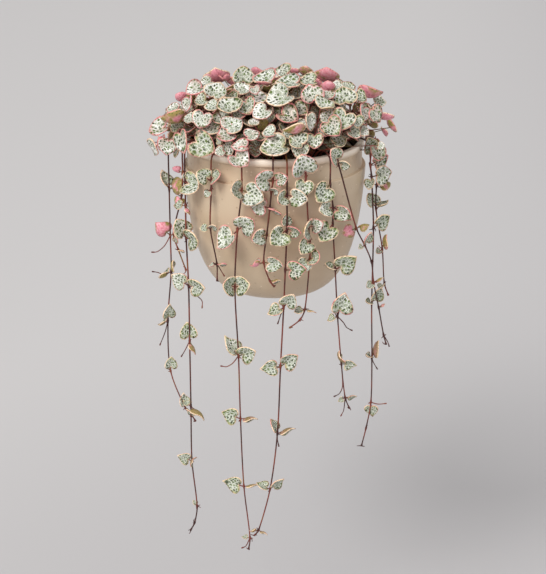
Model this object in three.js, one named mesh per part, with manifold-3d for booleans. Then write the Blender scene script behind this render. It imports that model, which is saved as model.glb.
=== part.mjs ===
// A variegated string of hearts in a round hanging pot: thin stems carry pairs of heart-shaped
// leaves, heap up over the soil in a mound, and fall past the pot on all sides.
// Millimetres, +Z up. The origin is the centre of the pot's mouth, level with its lip.

import * as THREE from 'three';
import { mergeVertices } from 'three/addons/utils/BufferGeometryUtils.js';
import Module from 'manifold-3d';

const wasm = await Module();
wasm.setup();

// ---- Driving dimensions -------------------------------------------------------------------

const POT_RADIUS = 60;
const POT_HEIGHT = 104;
const POT_WALL = 2.4;
const POT_FOOT_RADIUS = 32.5;
const POT_SIDES = 28;
const LIP = { radius: 60.6, height: 4.6, inner: 56.6, round: 0.8 };
const NECK = { top: 59, bottom: 59.4 };
const SHOULDER = { radius: 61.7, depth: 17.3, round: 0.7 };

const SOIL_GAP = 0.9;
const SOIL_EDGE = -8;
const SOIL_CROWN = -6.5;
const SOIL_SIDES = 16;
const ROOT_DEPTH = -13;
const HOLE_RADIUS = 1.6;

const STEM_RADIUS = 0.9;
const STALK_RADIUS = 0.5;
const BLADE_THICKNESS = 0.7;
const SMALL_BLADE = 9;
const FINEST_BLADE = 6;
const CLEARANCE = 0.5;

// The mound of foliage, as the half axes of a squared-off dome over the pot's mouth.
const MOUND = { across: 84, deep: 66, high: 50, base: -8, power: 2.2 };

// The front of the mound is laid out by eye from this point, in front of the plant and above it.
const EYE = new THREE.Vector3(-1, -1034, 268.6);
const EYE_DROP = THREE.MathUtils.degToRad(20);

const COLOURS = {
  pot: '#b39a80',
  soil: '#3a2a20',
  leaf: '#b9c2ab',
  pale: '#cfd3c1',
};

// A heart blade, 1 wide: half its outline from the lobe down to the tip, the tip, and the
// stalk, which starts as a pair of corners in the notch and ends in a point.
const HALF_HEART = [[0.24, -0.15], [0.5, 0.1], [0.34, 0.5]];
const SMALL_HALF_HEART = [[0.24, -0.15], [0.48, 0.15]];
const TIP = [0, 0.78];
const NOTCH_CORNER = [0.05, -0.01];
const STALK_POINT = [0, -0.3];

// Hanging stems of the front, each by the points of its leaf joints from the top down.
// A joint is [x, y, z, leaves], a leaf [width, angle, lean, roll]: the angle runs from the
// right, anticlockwise, in the wall's plane, and the tip leans out of that plane.
const FRONT_STEMS = {
  a: [
    [-71, -12, -33, [[11, 122, 2, 94], [12, 33, -4, 163]]],
    [-71, -12, -66, [[12, 129, 30, -150]]],
    [-71, -12, -92, [[10, 215, 10, 75], [9, 70, 10, 130]]],
    [-74, -12, -128, [[8, 215, 0, 70], [10, 82, 0, 72]]],
    [-73, -12, -166, [[9, 85, 0, 50], [4, 130, 0, 60]]],
    [-63, -12, -195, [[9, 105, 0, 70], [8, -20, 0, 35]]],
    [-59, -12, -200, []],
    [-56, -12, -205, []],
  ],
  b: [
    [-59, -33, -22, [[15, -2, 20, -26], [6, 82, -16, 35]]],
    [-59, -33, -38, [[7, 190, 10, 40], [6, -60, 0, 70]]],
    [-59, -33, -61, [[14, 112, 0, 64], [15, 10, 10, 8]]],
    [-58, -33, -95, [[12, 150, 10, 10], [13, 22, 0, 10]]],
    [-58, -33, -135, [[12, 98, 0, 35], [8, -60, 0, 66]]],
    [-58, -33, -184, [[10, -28, 0, 68], [5, 160, 0, 60]]],
    [-58, -33, -226, [[9, 150, 30, 20], [8, 60, 30, 140]]],
    [-55, -33, -262, [[4, 130, 0, 70]]],
    [-57, -33, -275, []],
    [-60, -33, -281, []],
  ],
  c: [
    [-61, -24, -18, [[6, 160, 20, 160]]],
    [-62, -24, -34, [[7, -110, 10, 150]]],
    [-68, -24, -61, [[6, -60, 0, 20]]],
    [-65, -24, -72, [[5, 0, 10, 60]]],
    [-60, -24, -87, []],
  ],
  d: [
    [-41, -51, -16, [[11, 142, 25, 34], [11, 40, 23, -51]]],
    [-41, -51, -21, [[6, 244, 20, 20]]],
    [-42, -51, -48, [[6, 185, 20, 40], [6, 30, 30, 30]]],
    [-38, -51, -73, [[4, 200, 20, 60], [6, 10, 10, 60]]],
    [-38, -51, -85, []],
  ],
  e: [
    [-21, -62, -19, [[15, -16, 18, -18], [12, 148, 63, 44]]],
    [-24, -62, -46, [[16, 226, 10, 44], [15, 40, 20, 5]]],
    [-26, -62, -85, [[13, 138, 58, 43], [13, 23, 30, -21]]],
    [-24, -62, -134, [[13, 128, 0, 66], [13, 28, 0, 8]]],
    [-23, -62, -180, [[12, 162, 0, 5], [10, 8, 0, 64]]],
    [-21, -62, -231, [[12, 166, 0, 5], [9, 12, 0, 64]]],
    [-17, -62, -271, [[4, 180, 0, 70]]],
    [-18, -62, -280, []],
  ],
  f: [
    [-1, -65, -12, [[14, 160, 20, 5], [9, 20, 20, 10]]],
    [-2, -65, -19, [[6, 30, 30, 10]]],
    [-3, -65, -30, [[12, 170, 15, 5], [9, -10, 30, 60]]],
    [-5, -65, -48, [[11, 185, 10, 0], [4, 0, 20, 60]]],
    [-7, -65, -67, [[8, 200, 0, 100], [11, -5, 10, 5]]],
    [-3, -65, -80, [[6, 10, 10, 60]]],
    [0, -65, -84, []],
  ],
  g: [
    [8, -66, -21, [[10, 195, 20, 5], [12, -10, 20, 5]]],
    [8, -66, -44, [[14, 215, 25, 5], [10, -20, 20, 5], [8, 93, -15, 28]]],
    [7, -66, -72, [[13, 10, 20, 0]]],
    [6, -66, -98, [[12, 60, 20, 5], [10, 200, 20, 60]]],
    [4, -66, -140, [[12, 36, 0, 5], [11, 186, 0, 8]]],
    [2, -66, -189, [[10, 114, 0, 66], [10, 22, 0, 60]]],
    [-3, -66, -231, [[8, 158, 0, 66], [10, 42, 0, 40]]],
    [-11, -66, -263, [[5, 180, 20, 120], [5, -10, 20, 60]]],
    [-14, -66, -267, []],
  ],
  h: [
    [20, -62, -10, [[17, 105, 20, 5], [12, -105, 20, 5]]],
    [22, -62, -44, [[13, 170, 20, 5], [10, 25, 30, 5]]],
    [23, -62, -52, [[11, 225, 30, 5]]],
    [23, -62, -65, [[10, 225, 10, 10], [11, 31, 64, -61]]],
    [20, -62, -101, [[6, 190, 10, 60], [6, -15, 10, 70]]],
    [17, -62, -108, []],
    [10, -62, -114, []],
  ],
  i: [
    [36, -54, -17, [[14, 220, 20, 5]]],
    [38, -54, -33, [[11, 180, 20, 5], [12, -60, 30, 0]]],
    [38, -54, -44, [[14, -139, 23, 33]]],
    [40, -54, -76, [[16, 40, 25, 5], [8, 150, 10, 70]]],
    [42, -54, -109, [[16, 74, 0, 5], [6, 200, 0, 70]]],
    [45, -54, -143, [[9, 110, 10, 80], [8, -5, 20, 10]]],
    [48, -54, -168, [[4, 200, 0, 30], [6, 5, 10, 40]]],
    [51, -54, -176, []],
  ],
  j: [
    [41, -51, -4, [[12, 124, 18, 30], [8, 10, 40, 30]]],
    [54, -42, -51, [[9, -160, -7, -167], [8, 10, 10, 100]]],
    [60, -39, -64, [[9, 80, 20, 20], [4, 200, 0, 60]]],
    [65, -35, -77, []],
    [67, -31, -93, [[6, 200, 10, 40], [6, 20, 10, 60]]],
    [71, -29, -112, [[4, 20, 0, 60]]],
    [75, -27, -133, []],
    [77, -27, -140, []],
  ],
  k: [
    [64, -17, -8, [[12, 103, 3, 1]]],
    [64, -17, -15, [[12, 30, 20, 5]]],
    [65, -17, -23, [[14, 10, 20, 5], [8, 240, 20, 60]]],
    [67, -17, -59, [[13, 40, 20, 5]]],
    [67, -17, -113, [[12, 70, 20, 5], [6, 160, 10, 60]]],
    [68, -17, -154, [[6, 150, 0, 70], [11, 80, 0, 68]]],
    [68, -17, -188, [[10, -80, 0, 54]]],
    [65, -17, -208, []],
    [62, -17, -222, []],
  ],
  l: [
    [69, -8, -32, [[10, 5, 10, 100]]],
    [69, -8, -48, [[11, 106, -24, -1], [9, 19, 10, -99]]],
    [74, -8, -77, [[10, 95, 20, 60], [5, 200, 0, 60]]],
    [76, -8, -102, [[6, 200, 10, 100]]],
    [79, -8, -111, []],
  ],
};

// Hanging stems of the back, as [azimuth in degrees, length below the lip].
const BACK_STEMS = {
  m: [41, 66],
  n: [59, 104],
  o: [73, 122],
  p: [94, 84],
  q: [106, 112],
  r: [127, 98],
  s: [139, 56],
};
const BACK_RADIUS = 65;
const BACK_JOINT_STEP = 25;

// Leaves of the mound that show from the front, nearest first, as
// [right, up, width, angle of the tip, turn of the face, rise of the face].
const MOUND_LEAVES = [
  [0, -8, 18, 190, 0, 58], [-48, -6, 17, -30, -10, 20], [-23, -16, 14, -40, 0, 45],
  [3, 25, 18, 200, 0, 58], [-21, 42, 14, 90, 0, 15], [-31, 20, 16, 130, 0, 60],
  [-33, 1, 14, 190, 0, 55], [39, 6, 14, -50, 0, 30], [25, 29, 15, 110, 0, 35],
  [10, 13, 16, -20, 0, 60], [47, 28, 16, 100, 0, 40], [35, 21, 14, 20, 10, 66],
  [35, 41, 17, 90, 170, 40], [-39, 40, 18, 100, 190, 42], [-39, 31, 15, 60, 0, 45],
  [-54, 31, 16, 200, -10, 70], [-49, 11, 13, -110, -5, 32], [-62, -3, 15, -80, -55, 10],
  [-78, 5, 14, 200, -20, 52], [-72, -7, 13, -100, -15, 10], [17, -9, 11, -110, 0, 30],
  [15, -3, 13, 150, 0, 50], [66, -5, 12, -150, 15, 25], [72, -13, 12, -60, 10, 15],
  [39, -13, 12, -90, 0, 10], [68, 15, 12, -60, 40, 15], [64, 28, 17, 0, 0, 118],
  [71, 23, 10, 0, 10, 50], [76, 13, 10, 10, 0, 130], [-68, 11, 16, 180, 0, 125],
  [-8, 38, 17, 170, 0, 68], [9, 36, 17, 180, 0, 72], [5, 44, 12, 160, 0, 50],
  [-28, 7, 14, 30, 0, 50], [-37, 12, 12, 160, 0, 55], [-50, 24, 10, 190, 0, 55],
  [-18, 20, 13, -70, -35, 35], [-9, 16, 12, -150, 0, 50], [-7, 7, 10, -150, 180, 25],
  [-14, 10, 7, 90, 0, 55], [-15, 1, 10, 20, 0, 55], [-16, -7, 13, -80, -40, 5],
  [-43, 5, 14, 180, 0, 65], [-23, -7, 11, 180, 0, 60], [-22, -1, 9, 170, 0, 60],
  [-9, -15, 10, 10, 0, 60], [46, 11, 15, -120, 0, 40], [35, 13, 11, 150, 0, 50],
  [55, 10, 10, -80, 30, 40], [54, 2, 10, -30, 10, 50], [60, 3, 9, -30, 15, 60],
  [44, -3, 11, 20, 0, 55], [60, 16, 11, -90, 60, 25], [34, -2, 14, -60, 65, 10],
  [23, 10, 12, -80, 60, 15], [19, 8, 8, 0, 0, 50], [13, 4, 16, 180, 0, 112],
  [27, -3, 11, -90, 0, 35], [17, 18, 12, -30, 0, 55], [58, 26, 10, -30, 20, 50],
  [50, 34, 10, 60, 10, 55], [42, 34, 8, 90, 0, 40], [23, 37, 12, 180, 0, 60],
  [21, 44, 10, 90, 160, 30], [-12, 44, 10, 100, 150, 30], [14, 44, 8, 30, 180, 40],
  [36, 34, 10, 90, 180, 20], [35, 28, 10, 120, 0, 50], [-21, 32, 11, 30, 0, 55],
  [-13, 31, 7, -60, 0, 40], [-12, 26, 16, 0, 0, 65], [-6, 34, 13, 0, 0, 120],
  [-46, 36, 10, 200, 0, 60], [-58, 22, 12, -100, -65, 25], [-64, 27, 8, 150, 180, 20],
  [-68, 20, 9, 110, -30, 40], [-72, 16, 8, 100, -70, 10], [-61, 20, 9, 90, -20, 45],
  [-66, 8, 10, 120, -10, 45], [-81, -7, 12, -80, -60, 0], [-69, 2, 9, 30, -10, 55],
  [-56, 13, 9, 90, -10, 35], [-43, 20, 10, 180, 0, 60], [-37, -3, 5, 0, 0, 45],
  [-37, -10, 7, 200, 0, 30], [-32, -8, 10, -60, 0, 30], [-25, 14, 10, 0, 0, 60],
  [-4, 2, 10, 180, 0, 60], [0, 7, 8, -90, 180, 20], [72, -6, 5, -10, 0, 20],
  [34, 3, 8, -60, 0, 45], [21, 3, 5, 0, 0, 45], [9, 1, 8, 170, 0, 55],
  [1, 1, 10, 180, 0, 50], [49, -20, 9, -80, 40, 5], [31, -16, 7, -100, 0, 10],
  [58, -16, 9, -90, 60, 5], [79, -20, 9, 5, 20, 20],
];
const FILLER_SEED = 7;
const FILLER_TRIES = 420;
const FILLER_LEAVES = 80;

// Tufts of upright stems under the mound, as rings of [count, radius, first azimuth, lean].
const TUFT_RINGS = [[1, 0, 0, 0], [6, 25, 15, 2], [11, 47, 5, 5]];

const UP = new THREE.Vector3(0, 0, 1);
const FRONT = new THREE.Vector3(0, -1, 0);
const RIGHT = new THREE.Vector3(1, 0, 0);

// ---- Small helpers --------------------------------------------------------------------------

const vec = (x, y, z) => new THREE.Vector3(x, y, z);
const polar = (radius, azimuth, z) => vec(radius * Math.cos(azimuth), radius * Math.sin(azimuth), z);
const rad = THREE.MathUtils.degToRad;

function blend(...terms) {
  const sum = vec(0, 0, 0);
  for (const [vector, amount] of terms) {
    sum.addScaledVector(vector, amount);
  }
  return sum;
}

function randomSource(seed) {
  let state = seed;
  return (low, high) => {
    state = (Math.imul(state, 1664525) + 1013904223) >>> 0;
    return low + (high - low) * (state / 4294967296);
  };
}

// ---- Joining and cutting --------------------------------------------------------------------

function toSolid(geometry) {
  geometry.deleteAttribute('normal');
  geometry.deleteAttribute('uv');
  const merged = mergeVertices(geometry, 1e-4);
  const corners = merged.index.array;
  const triangles = [];
  for (let k = 0; k < corners.length; k += 3) {
    const [a, b, c] = corners.slice(k, k + 3);
    if (a !== b && b !== c && c !== a) {
      triangles.push(a, b, c);
    }
  }
  return new wasm.Manifold(new wasm.Mesh({
    numProp: 3,
    vertProperties: new Float32Array(merged.attributes.position.array),
    triVerts: new Uint32Array(triangles),
  }));
}

function toGeometry(solid) {
  const { vertProperties, triVerts } = solid.getMesh();
  const geometry = new THREE.BufferGeometry();
  geometry.setAttribute('position', new THREE.BufferAttribute(vertProperties, 3));
  geometry.setIndex(new THREE.BufferAttribute(triVerts, 1));
  geometry.computeVertexNormals();
  return geometry;
}

// ---- Pot and soil ---------------------------------------------------------------------------

// The bowl's wall from its foot up: inset 0 is the outside, which ends at the shoulder, and
// every other inset lies inside it and ends within the neck.
function bowlCurve(inset) {
  const rim = inset === 0 ? SHOULDER.radius : NECK.bottom - inset;
  return new THREE.CubicBezierCurve(
    new THREE.Vector2(POT_FOOT_RADIUS - inset / 2, -POT_HEIGHT + inset),
    new THREE.Vector2(POT_RADIUS - 9 - inset, -POT_HEIGHT + 7 + inset),
    new THREE.Vector2(POT_RADIUS - 0.7 - inset, -POT_HEIGHT + 40),
    new THREE.Vector2(rim, -SHOULDER.depth - SHOULDER.round),
  );
}

function lathe(profile, sides) {
  const geometry = new THREE.LatheGeometry(profile, sides);
  geometry.rotateX(Math.PI / 2);
  return geometry;
}

function potGeometry() {
  const at = (r, z) => new THREE.Vector2(r, z);
  const outside = bowlCurve(0).getPoints(6);
  const inside = bowlCurve(POT_WALL).getPoints(4).reverse();
  return lathe([
    at(0, -POT_HEIGHT),
    ...outside,
    at(SHOULDER.radius - SHOULDER.round, -SHOULDER.depth),
    at(NECK.bottom, -SHOULDER.depth),
    at(NECK.top, -LIP.height),
    at(LIP.radius, -LIP.height),
    at(LIP.radius, -LIP.round),
    at(LIP.radius - LIP.round, 0),
    at(LIP.inner + LIP.round, 0),
    at(LIP.inner, -LIP.round),
    ...inside,
    at(0, -POT_HEIGHT + POT_WALL),
  ], POT_SIDES);
}

function soilGeometry(roots) {
  const inset = POT_WALL + SOIL_GAP;
  const wall = bowlCurve(inset).getPoints(4);
  const body = toSolid(lathe([
    new THREE.Vector2(0, -POT_HEIGHT + inset),
    ...wall,
    new THREE.Vector2(LIP.inner - SOIL_GAP, SOIL_EDGE),
    new THREE.Vector2(LIP.inner / 2, SOIL_CROWN),
    new THREE.Vector2(0, SOIL_CROWN),
  ], SOIL_SIDES));
  const depth = SOIL_CROWN + 2 - ROOT_DEPTH;
  const holes = roots.map((root) => {
    const hole = new THREE.CylinderGeometry(HOLE_RADIUS, HOLE_RADIUS, depth, 4, 1);
    hole.rotateX(Math.PI / 2);
    hole.translate(root.x, root.y, ROOT_DEPTH - 0.4 + depth / 2);
    return toSolid(hole);
  });
  return toGeometry(body.subtract(wasm.Manifold.union(holes)));
}

// True where a point, with the given room round it, lies outside the pot, its lip and the soil.
function clearOfPot(point, room) {
  const reach = Math.hypot(point.x, point.y);
  if (point.z > room + CLEARANCE) {
    return true;
  }
  if (reach < LIP.inner - 1 - room) {
    return point.z > SOIL_CROWN + room + CLEARANCE;
  }
  const wall = point.z < -POT_HEIGHT ? 0 : point.z < -POT_HEIGHT + 40 ? POT_RADIUS - 2 : SHOULDER.radius;
  return reach > wall + room + CLEARANCE;
}

// ---- Leaves ---------------------------------------------------------------------------------
// A leaf is { base, tip, face, width, cup, foot }: the notch, the way the blade points, the way
// its upper side faces, its width, how far its sides lift, and the foot of its stalk in the stem.

function mirrored(half) {
  return half.map(([x, y]) => [-x, y]).reverse();
}

const HEART = [...HALF_HEART, TIP, ...mirrored(HALF_HEART)];

function leafPoint(leaf, x, y, lift) {
  const across = leaf.tip.clone().cross(leaf.face);
  const bend = leaf.cup * x * x - 0.08 * y * Math.abs(y);
  return blend(
    [leaf.base, 1],
    [across, x * leaf.width],
    [leaf.tip, y * leaf.width],
    [leaf.face, bend * leaf.width + lift],
  );
}

// The way from the notch to the foot of the stalk.
function stalkWay(leaf) {
  return leaf.foot.clone().sub(leaf.base).normalize();
}

// How squarely the stalk meets the slanted end that it has in the notch.
function stalkMeets(leaf) {
  const way = stalkWay(leaf);
  const end = blend([leaf.tip, -1], [leaf.face, way.dot(leaf.face)]).normalize();
  return way.dot(end);
}

function leafGeometry(leaf) {
  const half = [NOTCH_CORNER, ...(leaf.width < SMALL_BLADE ? SMALL_HALF_HEART : HALF_HEART)];
  const outline = [STALK_POINT, ...half, TIP, ...mirrored(half)];
  const geometry = new THREE.ExtrudeGeometry(
    new THREE.Shape(outline.map(([x, y]) => new THREE.Vector2(x, y))),
    { depth: BLADE_THICKNESS, steps: 1, bevelEnabled: false },
  );
  const slant = stalkWay(leaf).dot(leaf.face);
  const position = geometry.attributes.position;
  for (let k = 0; k < position.count; k += 1) {
    const x = position.getX(k);
    const y = position.getY(k);
    const lift = position.getZ(k) - BLADE_THICKNESS / 2;
    const inStalk = Math.abs(x) < 0.1 && y < 0;
    let place = leafPoint(leaf, x, y, lift);
    if (inStalk) {
      place.addScaledVector(leaf.tip, slant * lift);
    }
    if (y === Math.fround(STALK_POINT[1])) {
      place = leaf.foot;
    }
    position.setXYZ(k, place.x, place.y, place.z);
  }
  return geometry;
}

// ---- Stems ----------------------------------------------------------------------------------

class StemPath extends THREE.Curve {
  constructor(points) {
    super();
    this.points = points;
  }

  getPoint(t, target = vec(0, 0, 0)) {
    const along = t * (this.points.length - 1);
    const k = Math.min(Math.floor(along), this.points.length - 2);
    return target.lerpVectors(this.points[k], this.points[k + 1], along - k);
  }

  getPointAt(t, target) {
    return this.getPoint(t, target);
  }

  getTangentAt(t, target = vec(0, 0, 0)) {
    const last = this.points.length - 1;
    const k = Math.round(t * last);
    const before = this.points[Math.max(k - 1, 0)];
    const here = this.points[k];
    const after = this.points[Math.min(k + 1, last)];
    const arriving = here.clone().sub(before).normalize();
    const leaving = after.clone().sub(here).normalize();
    return target.addVectors(arriving, leaving).normalize();
  }
}

function stemGeometry(points) {
  const section = new THREE.Shape([0, 1, 2].map((k) => {
    const turn = (k * 2 * Math.PI) / 3;
    return new THREE.Vector2(STEM_RADIUS * Math.cos(turn), STEM_RADIUS * Math.sin(turn));
  }));
  return new THREE.ExtrudeGeometry(section, {
    steps: points.length - 1,
    extrudePath: new StemPath(points),
    bevelEnabled: false,
  });
}

// ---- Room between leaves and stems ------------------------------------------------------------
// Each blade and each straight run of stem is kept as a flat piece with a skin. Two pieces are
// apart when some axis separates them by their skins and the clearance.

function flatPiece(owner, kind, points, axes, along, skin) {
  const centre = points.reduce((sum, point) => sum.add(point), vec(0, 0, 0)).divideScalar(points.length);
  const reach = Math.max(...points.map((point) => point.distanceTo(centre)));
  return { owner, kind, points, axes, along, skin, centre, reach };
}

function bladePiece(owner, leaf) {
  const across = leaf.tip.clone().cross(leaf.face);
  const points = HEART.map(([x, y]) => leafPoint(leaf, x, y, 0));
  const axes = [
    leaf.face,
    across,
    leaf.tip,
    blend([across, 0.8], [leaf.tip, 0.6]),
    blend([across, -0.8], [leaf.tip, 0.6]),
    blend([across, 0.7], [leaf.tip, -0.7]),
    blend([across, 0.7], [leaf.tip, 0.7]),
  ];
  return flatPiece(owner, 'blade', points, axes, leaf.tip, BLADE_THICKNESS / 2);
}

function runPiece(owner, from, to, skin) {
  return flatPiece(owner, 'stem', [from, to], [], to.clone().sub(from).normalize(), skin);
}

function spreadAlong(axis, a, b) {
  const along = (piece) => piece.points.map((point) => point.dot(axis));
  const first = along(a);
  const second = along(b);
  return Math.max(Math.min(...first) - Math.max(...second), Math.min(...second) - Math.max(...first));
}

function apart(a, b, gap) {
  const room = a.skin + b.skin + gap;
  const offset = b.centre.clone().sub(a.centre);
  if (offset.length() > a.reach + b.reach + room) {
    return true;
  }
  const cross = a.along.clone().cross(b.along);
  const axes = [
    ...a.axes,
    ...b.axes,
    offset,
    cross,
    a.along.clone().cross(cross),
    b.along.clone().cross(cross),
  ];
  return axes.some((axis) => {
    const length = axis.length();
    return length > 1e-3 && spreadAlong(axis, a, b) / length > room;
  });
}

const pieces = [];

function isClear(piece) {
  return pieces.every((other) => {
    const joined = other.owner === piece.owner && (other.kind === 'stem' || piece.kind === 'stem');
    return joined || apart(piece, other, CLEARANCE);
  });
}

function between(from, to, steps) {
  return Array.from({ length: steps }, (_, k) => from.clone().lerp(to, (k + 1) / steps));
}

function bladeFits(piece) {
  const samples = piece.points.flatMap((point, k) => [
    ...between(point, piece.points[(k + 1) % piece.points.length], 4),
    ...between(point, piece.centre, 3),
  ]);
  return samples.every((point) => clearOfPot(point, piece.skin)) && isClear(piece);
}

function stalkFits(piece) {
  const samples = between(...piece.points, 12);
  return samples.every((point) => clearOfPot(point, STALK_RADIUS)) && isClear(piece);
}

// ---- Hanging stems ----------------------------------------------------------------------------

// From its root in the soil, over the lip and down to its first joint.
function stemOverLip(azimuth, hangRadius) {
  return [
    polar(46, azimuth, ROOT_DEPTH),
    polar(46, azimuth, -5),
    polar(51, azimuth, 1),
    polar(58, azimuth, 3.4),
    polar(hangRadius - 1, azimuth, 0),
    polar(hangRadius, azimuth, -6),
  ];
}

// The ways a leaf may turn out of another's way, as changes to its angle, lean and roll.
const TURNS = [
  [0, 0, 0], [0, 15, 0], [0, 0, 20], [0, 0, -20], [12, 10, 0], [-12, 10, 0], [0, 30, 0],
  [20, 20, 20], [-20, 20, -20], [0, -20, 0], [30, 0, 30], [-30, 0, -30], [0, 45, 0],
];

function hungLeaf(joint, [width, angle, lean, roll], [more, out, over]) {
  const level = vec(joint.x, joint.y, 0).normalize();
  const facing = joint.y < 0 ? blend([level, 1], [FRONT, 1]).normalize() : level;
  const right = vec(-facing.y, facing.x, 0);
  const turned = rad(angle + more);
  const tilted = rad(lean + out);
  const rolled = rad(roll + over);
  const flat = blend([right, Math.cos(turned)], [UP, Math.sin(turned)]);
  const tip = blend([flat, Math.cos(tilted)], [facing, Math.sin(tilted)]);
  const upper = blend([facing, Math.cos(tilted)], [flat, -Math.sin(tilted)]);
  const face = blend([upper, Math.cos(rolled)], [tip.clone().cross(upper), Math.sin(rolled)]);
  const base = blend([joint, 1], [tip, 1.4 + 0.2 * width]);
  const foot = blend([joint, 1], [tip, -0.3]);
  return { base, tip, face, width, cup: 0.24, foot };
}

function stemRuns(name, path) {
  return path.slice(1).map((point, k) => runPiece(name, path[k], point, STEM_RADIUS));
}

function addStem(name, path) {
  pieces.push(...stemRuns(name, path));
  return { name, path, leaves: [] };
}

function addHungLeaf(stem, joint, numbers) {
  for (const turn of TURNS) {
    const leaf = hungLeaf(joint, numbers, turn);
    const blade = bladePiece(stem.name, leaf);
    if (bladeFits(blade)) {
      pieces.push(blade);
      stem.leaves.push(leaf);
      return;
    }
  }
}

function frontStems() {
  return Object.entries(FRONT_STEMS).map(([name, joints]) => {
    const points = joints.map(([x, y, z]) => vec(x, y, z));
    const first = points[0];
    const lip = stemOverLip(Math.atan2(first.y, first.x), Math.hypot(first.x, first.y));
    const stem = addStem(`hanging_stem_${name}`, [...lip, ...points]);
    stem.joints = joints.map(([, , , leaves], k) => ({ point: points[k], leaves }));
    return stem;
  });
}

function backStems() {
  const random = randomSource(FILLER_SEED);
  return Object.entries(BACK_STEMS).map(([name, [degrees, length]]) => {
    const azimuth = rad(degrees);
    const joints = [];
    for (let z = -random(12, 34); z > -length; z -= BACK_JOINT_STEP * random(0.7, 1.3)) {
      const point = polar(BACK_RADIUS + random(0, 2), azimuth + random(-0.045, 0.045), z);
      const side = random(-30, 40);
      const leaves = [
        [random(10, 15), side, random(5, 40), random(-20, 20)],
        [random(8, 14), 180 - side + random(-20, 20), random(5, 40), random(-20, 20)],
      ];
      joints.push({ point, leaves });
    }
    joints.push({ point: polar(BACK_RADIUS + 1, azimuth, -length), leaves: [[5, 20, 10, 30]] });
    const lip = stemOverLip(azimuth, BACK_RADIUS);
    const stem = addStem(`hanging_stem_${name}`, [...lip, ...joints.map(({ point }) => point)]);
    stem.joints = joints;
    return stem;
  });
}

// ---- The mound ----------------------------------------------------------------------------------

function moundDepth(point) {
  const parts = [point.x / MOUND.across, point.y / MOUND.deep, (point.z - MOUND.base) / MOUND.high];
  return parts.reduce((sum, part) => sum + Math.abs(part) ** MOUND.power, 0);
}

// The first place where a line of sight meets the mound, or where it passes nearest to it.
function placeOnMound(sight) {
  let best = { depth: Infinity, point: EYE };
  for (let t = 930; t < 1200; t += 1) {
    const point = blend([EYE, 1], [sight, t]);
    const depth = moundDepth(point);
    if (depth < best.depth) {
      best = { depth, point };
    }
    if (depth <= 1) {
      break;
    }
  }
  return best.point;
}

function seenLeaf([right, up, width, angle, turn, rise], push, more) {
  const upward = vec(0, Math.sin(EYE_DROP), Math.cos(EYE_DROP));
  const sight = blend([RIGHT, right], [upward, up], [EYE, -1]).normalize();
  const centre = placeOnMound(sight).addScaledVector(sight, push);
  const risen = rad(rise + more);
  const turned = rad(turn);
  const level = Math.cos(risen);
  const face = vec(Math.sin(turned) * level, -Math.cos(turned) * level, Math.sin(risen));
  const flat = blend([RIGHT, Math.cos(rad(angle))], [upward, Math.sin(rad(angle))]);
  const facing = sight.dot(face);
  const steady = Math.sign(facing) * Math.max(Math.abs(facing), 0.2);
  const tip = blend([flat, 1], [sight, -flat.dot(face) / steady]);
  tip.addScaledVector(face, -tip.dot(face)).normalize();
  const base = blend([centre, 1], [tip, -0.32 * width]);
  return { base, tip, face, width, cup: 0.2 };
}

function fillerLeaf(k, random) {
  const azimuth = k * 2.39996;
  const height = random(0.02, 0.98);
  const level = Math.sqrt(1 - height * height);
  const away = vec(level * Math.cos(azimuth), level * Math.sin(azimuth), height);
  const shell = vec(away.x * MOUND.deep, away.y * MOUND.deep, away.z * MOUND.high);
  const deepest = away.y < 0.15 ? 0.62 : 0.7;
  const highest = away.y < 0.15 ? 0.84 : 1;
  shell.multiplyScalar(random(deepest, highest));
  shell.x *= MOUND.across / MOUND.deep;
  shell.z += MOUND.base;
  const face = blend(
    [away, 1],
    [UP, random(0, 0.8)],
    [vec(random(-1, 1), random(-1, 1), random(-0.5, 1)), 0.55],
  ).normalize();
  const tip = vec(away.x + random(-1, 1), away.y + random(-1, 1), random(-1, 0.2));
  tip.addScaledVector(face, -tip.dot(face)).normalize();
  return { base: shell, tip, face, width: random(9, 17), cup: random(0.1, 0.3) };
}

function tufts() {
  const stems = [];
  for (const [count, radius, first, lean] of TUFT_RINGS) {
    for (let k = 0; k < count; k += 1) {
      const name = `tuft_${String(stems.length + 1).padStart(2, '0')}`;
      const paths = [0, 3, -3, 6, -6, 9, -9].map((more) => {
        const azimuth = rad(first + (k * 360) / count + more);
        return [
          polar(radius, azimuth, ROOT_DEPTH),
          polar(radius, azimuth, SOIL_CROWN + 1),
          polar(radius + lean, azimuth, 18 - radius * 0.14),
        ];
      });
      stems.push(addStem(name, paths.find((path) => stemRuns(name, path).every(isClear))));
    }
  }
  return stems;
}

// The stalk of a mound leaf leaves the tuft's stem low enough to rise towards the blade.
function footOnTuft({ path: [, collar, head] }, { base }) {
  const sideways = Math.hypot(base.x - head.x, base.y - head.y);
  const share = (base.z - 0.6 * sideways - collar.z) / (head.z - collar.z);
  return collar.clone().lerp(head, Math.min(Math.max(share, 0.15), 0.95));
}

function hangOnTuft(stems, leaf) {
  const distance = (stem) => stem.path[2].distanceToSquared(leaf.base);
  const sorted = [...stems].sort((a, b) => distance(a) - distance(b));
  for (const stem of sorted.slice(0, 6)) {
    const fitted = { ...leaf, foot: footOnTuft(stem, leaf) };
    const blade = bladePiece(stem.name, fitted);
    const stalk = runPiece(stem.name, fitted.foot, fitted.base, STALK_RADIUS);
    if (stalkMeets(fitted) > 0.4 && bladeFits(blade) && stalkFits(stalk)) {
      pieces.push(blade, stalk);
      stem.leaves.push(fitted);
      return true;
    }
  }
  return false;
}

function addSeenLeaf(stems, numbers) {
  for (const more of [0, 14, -14]) {
    for (const push of [0, 2, 4, -2, 6, 8, -4, 10, 12, 14, 16]) {
      if (hangOnTuft(stems, seenLeaf(numbers, push, more))) {
        return;
      }
    }
  }
}

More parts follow.
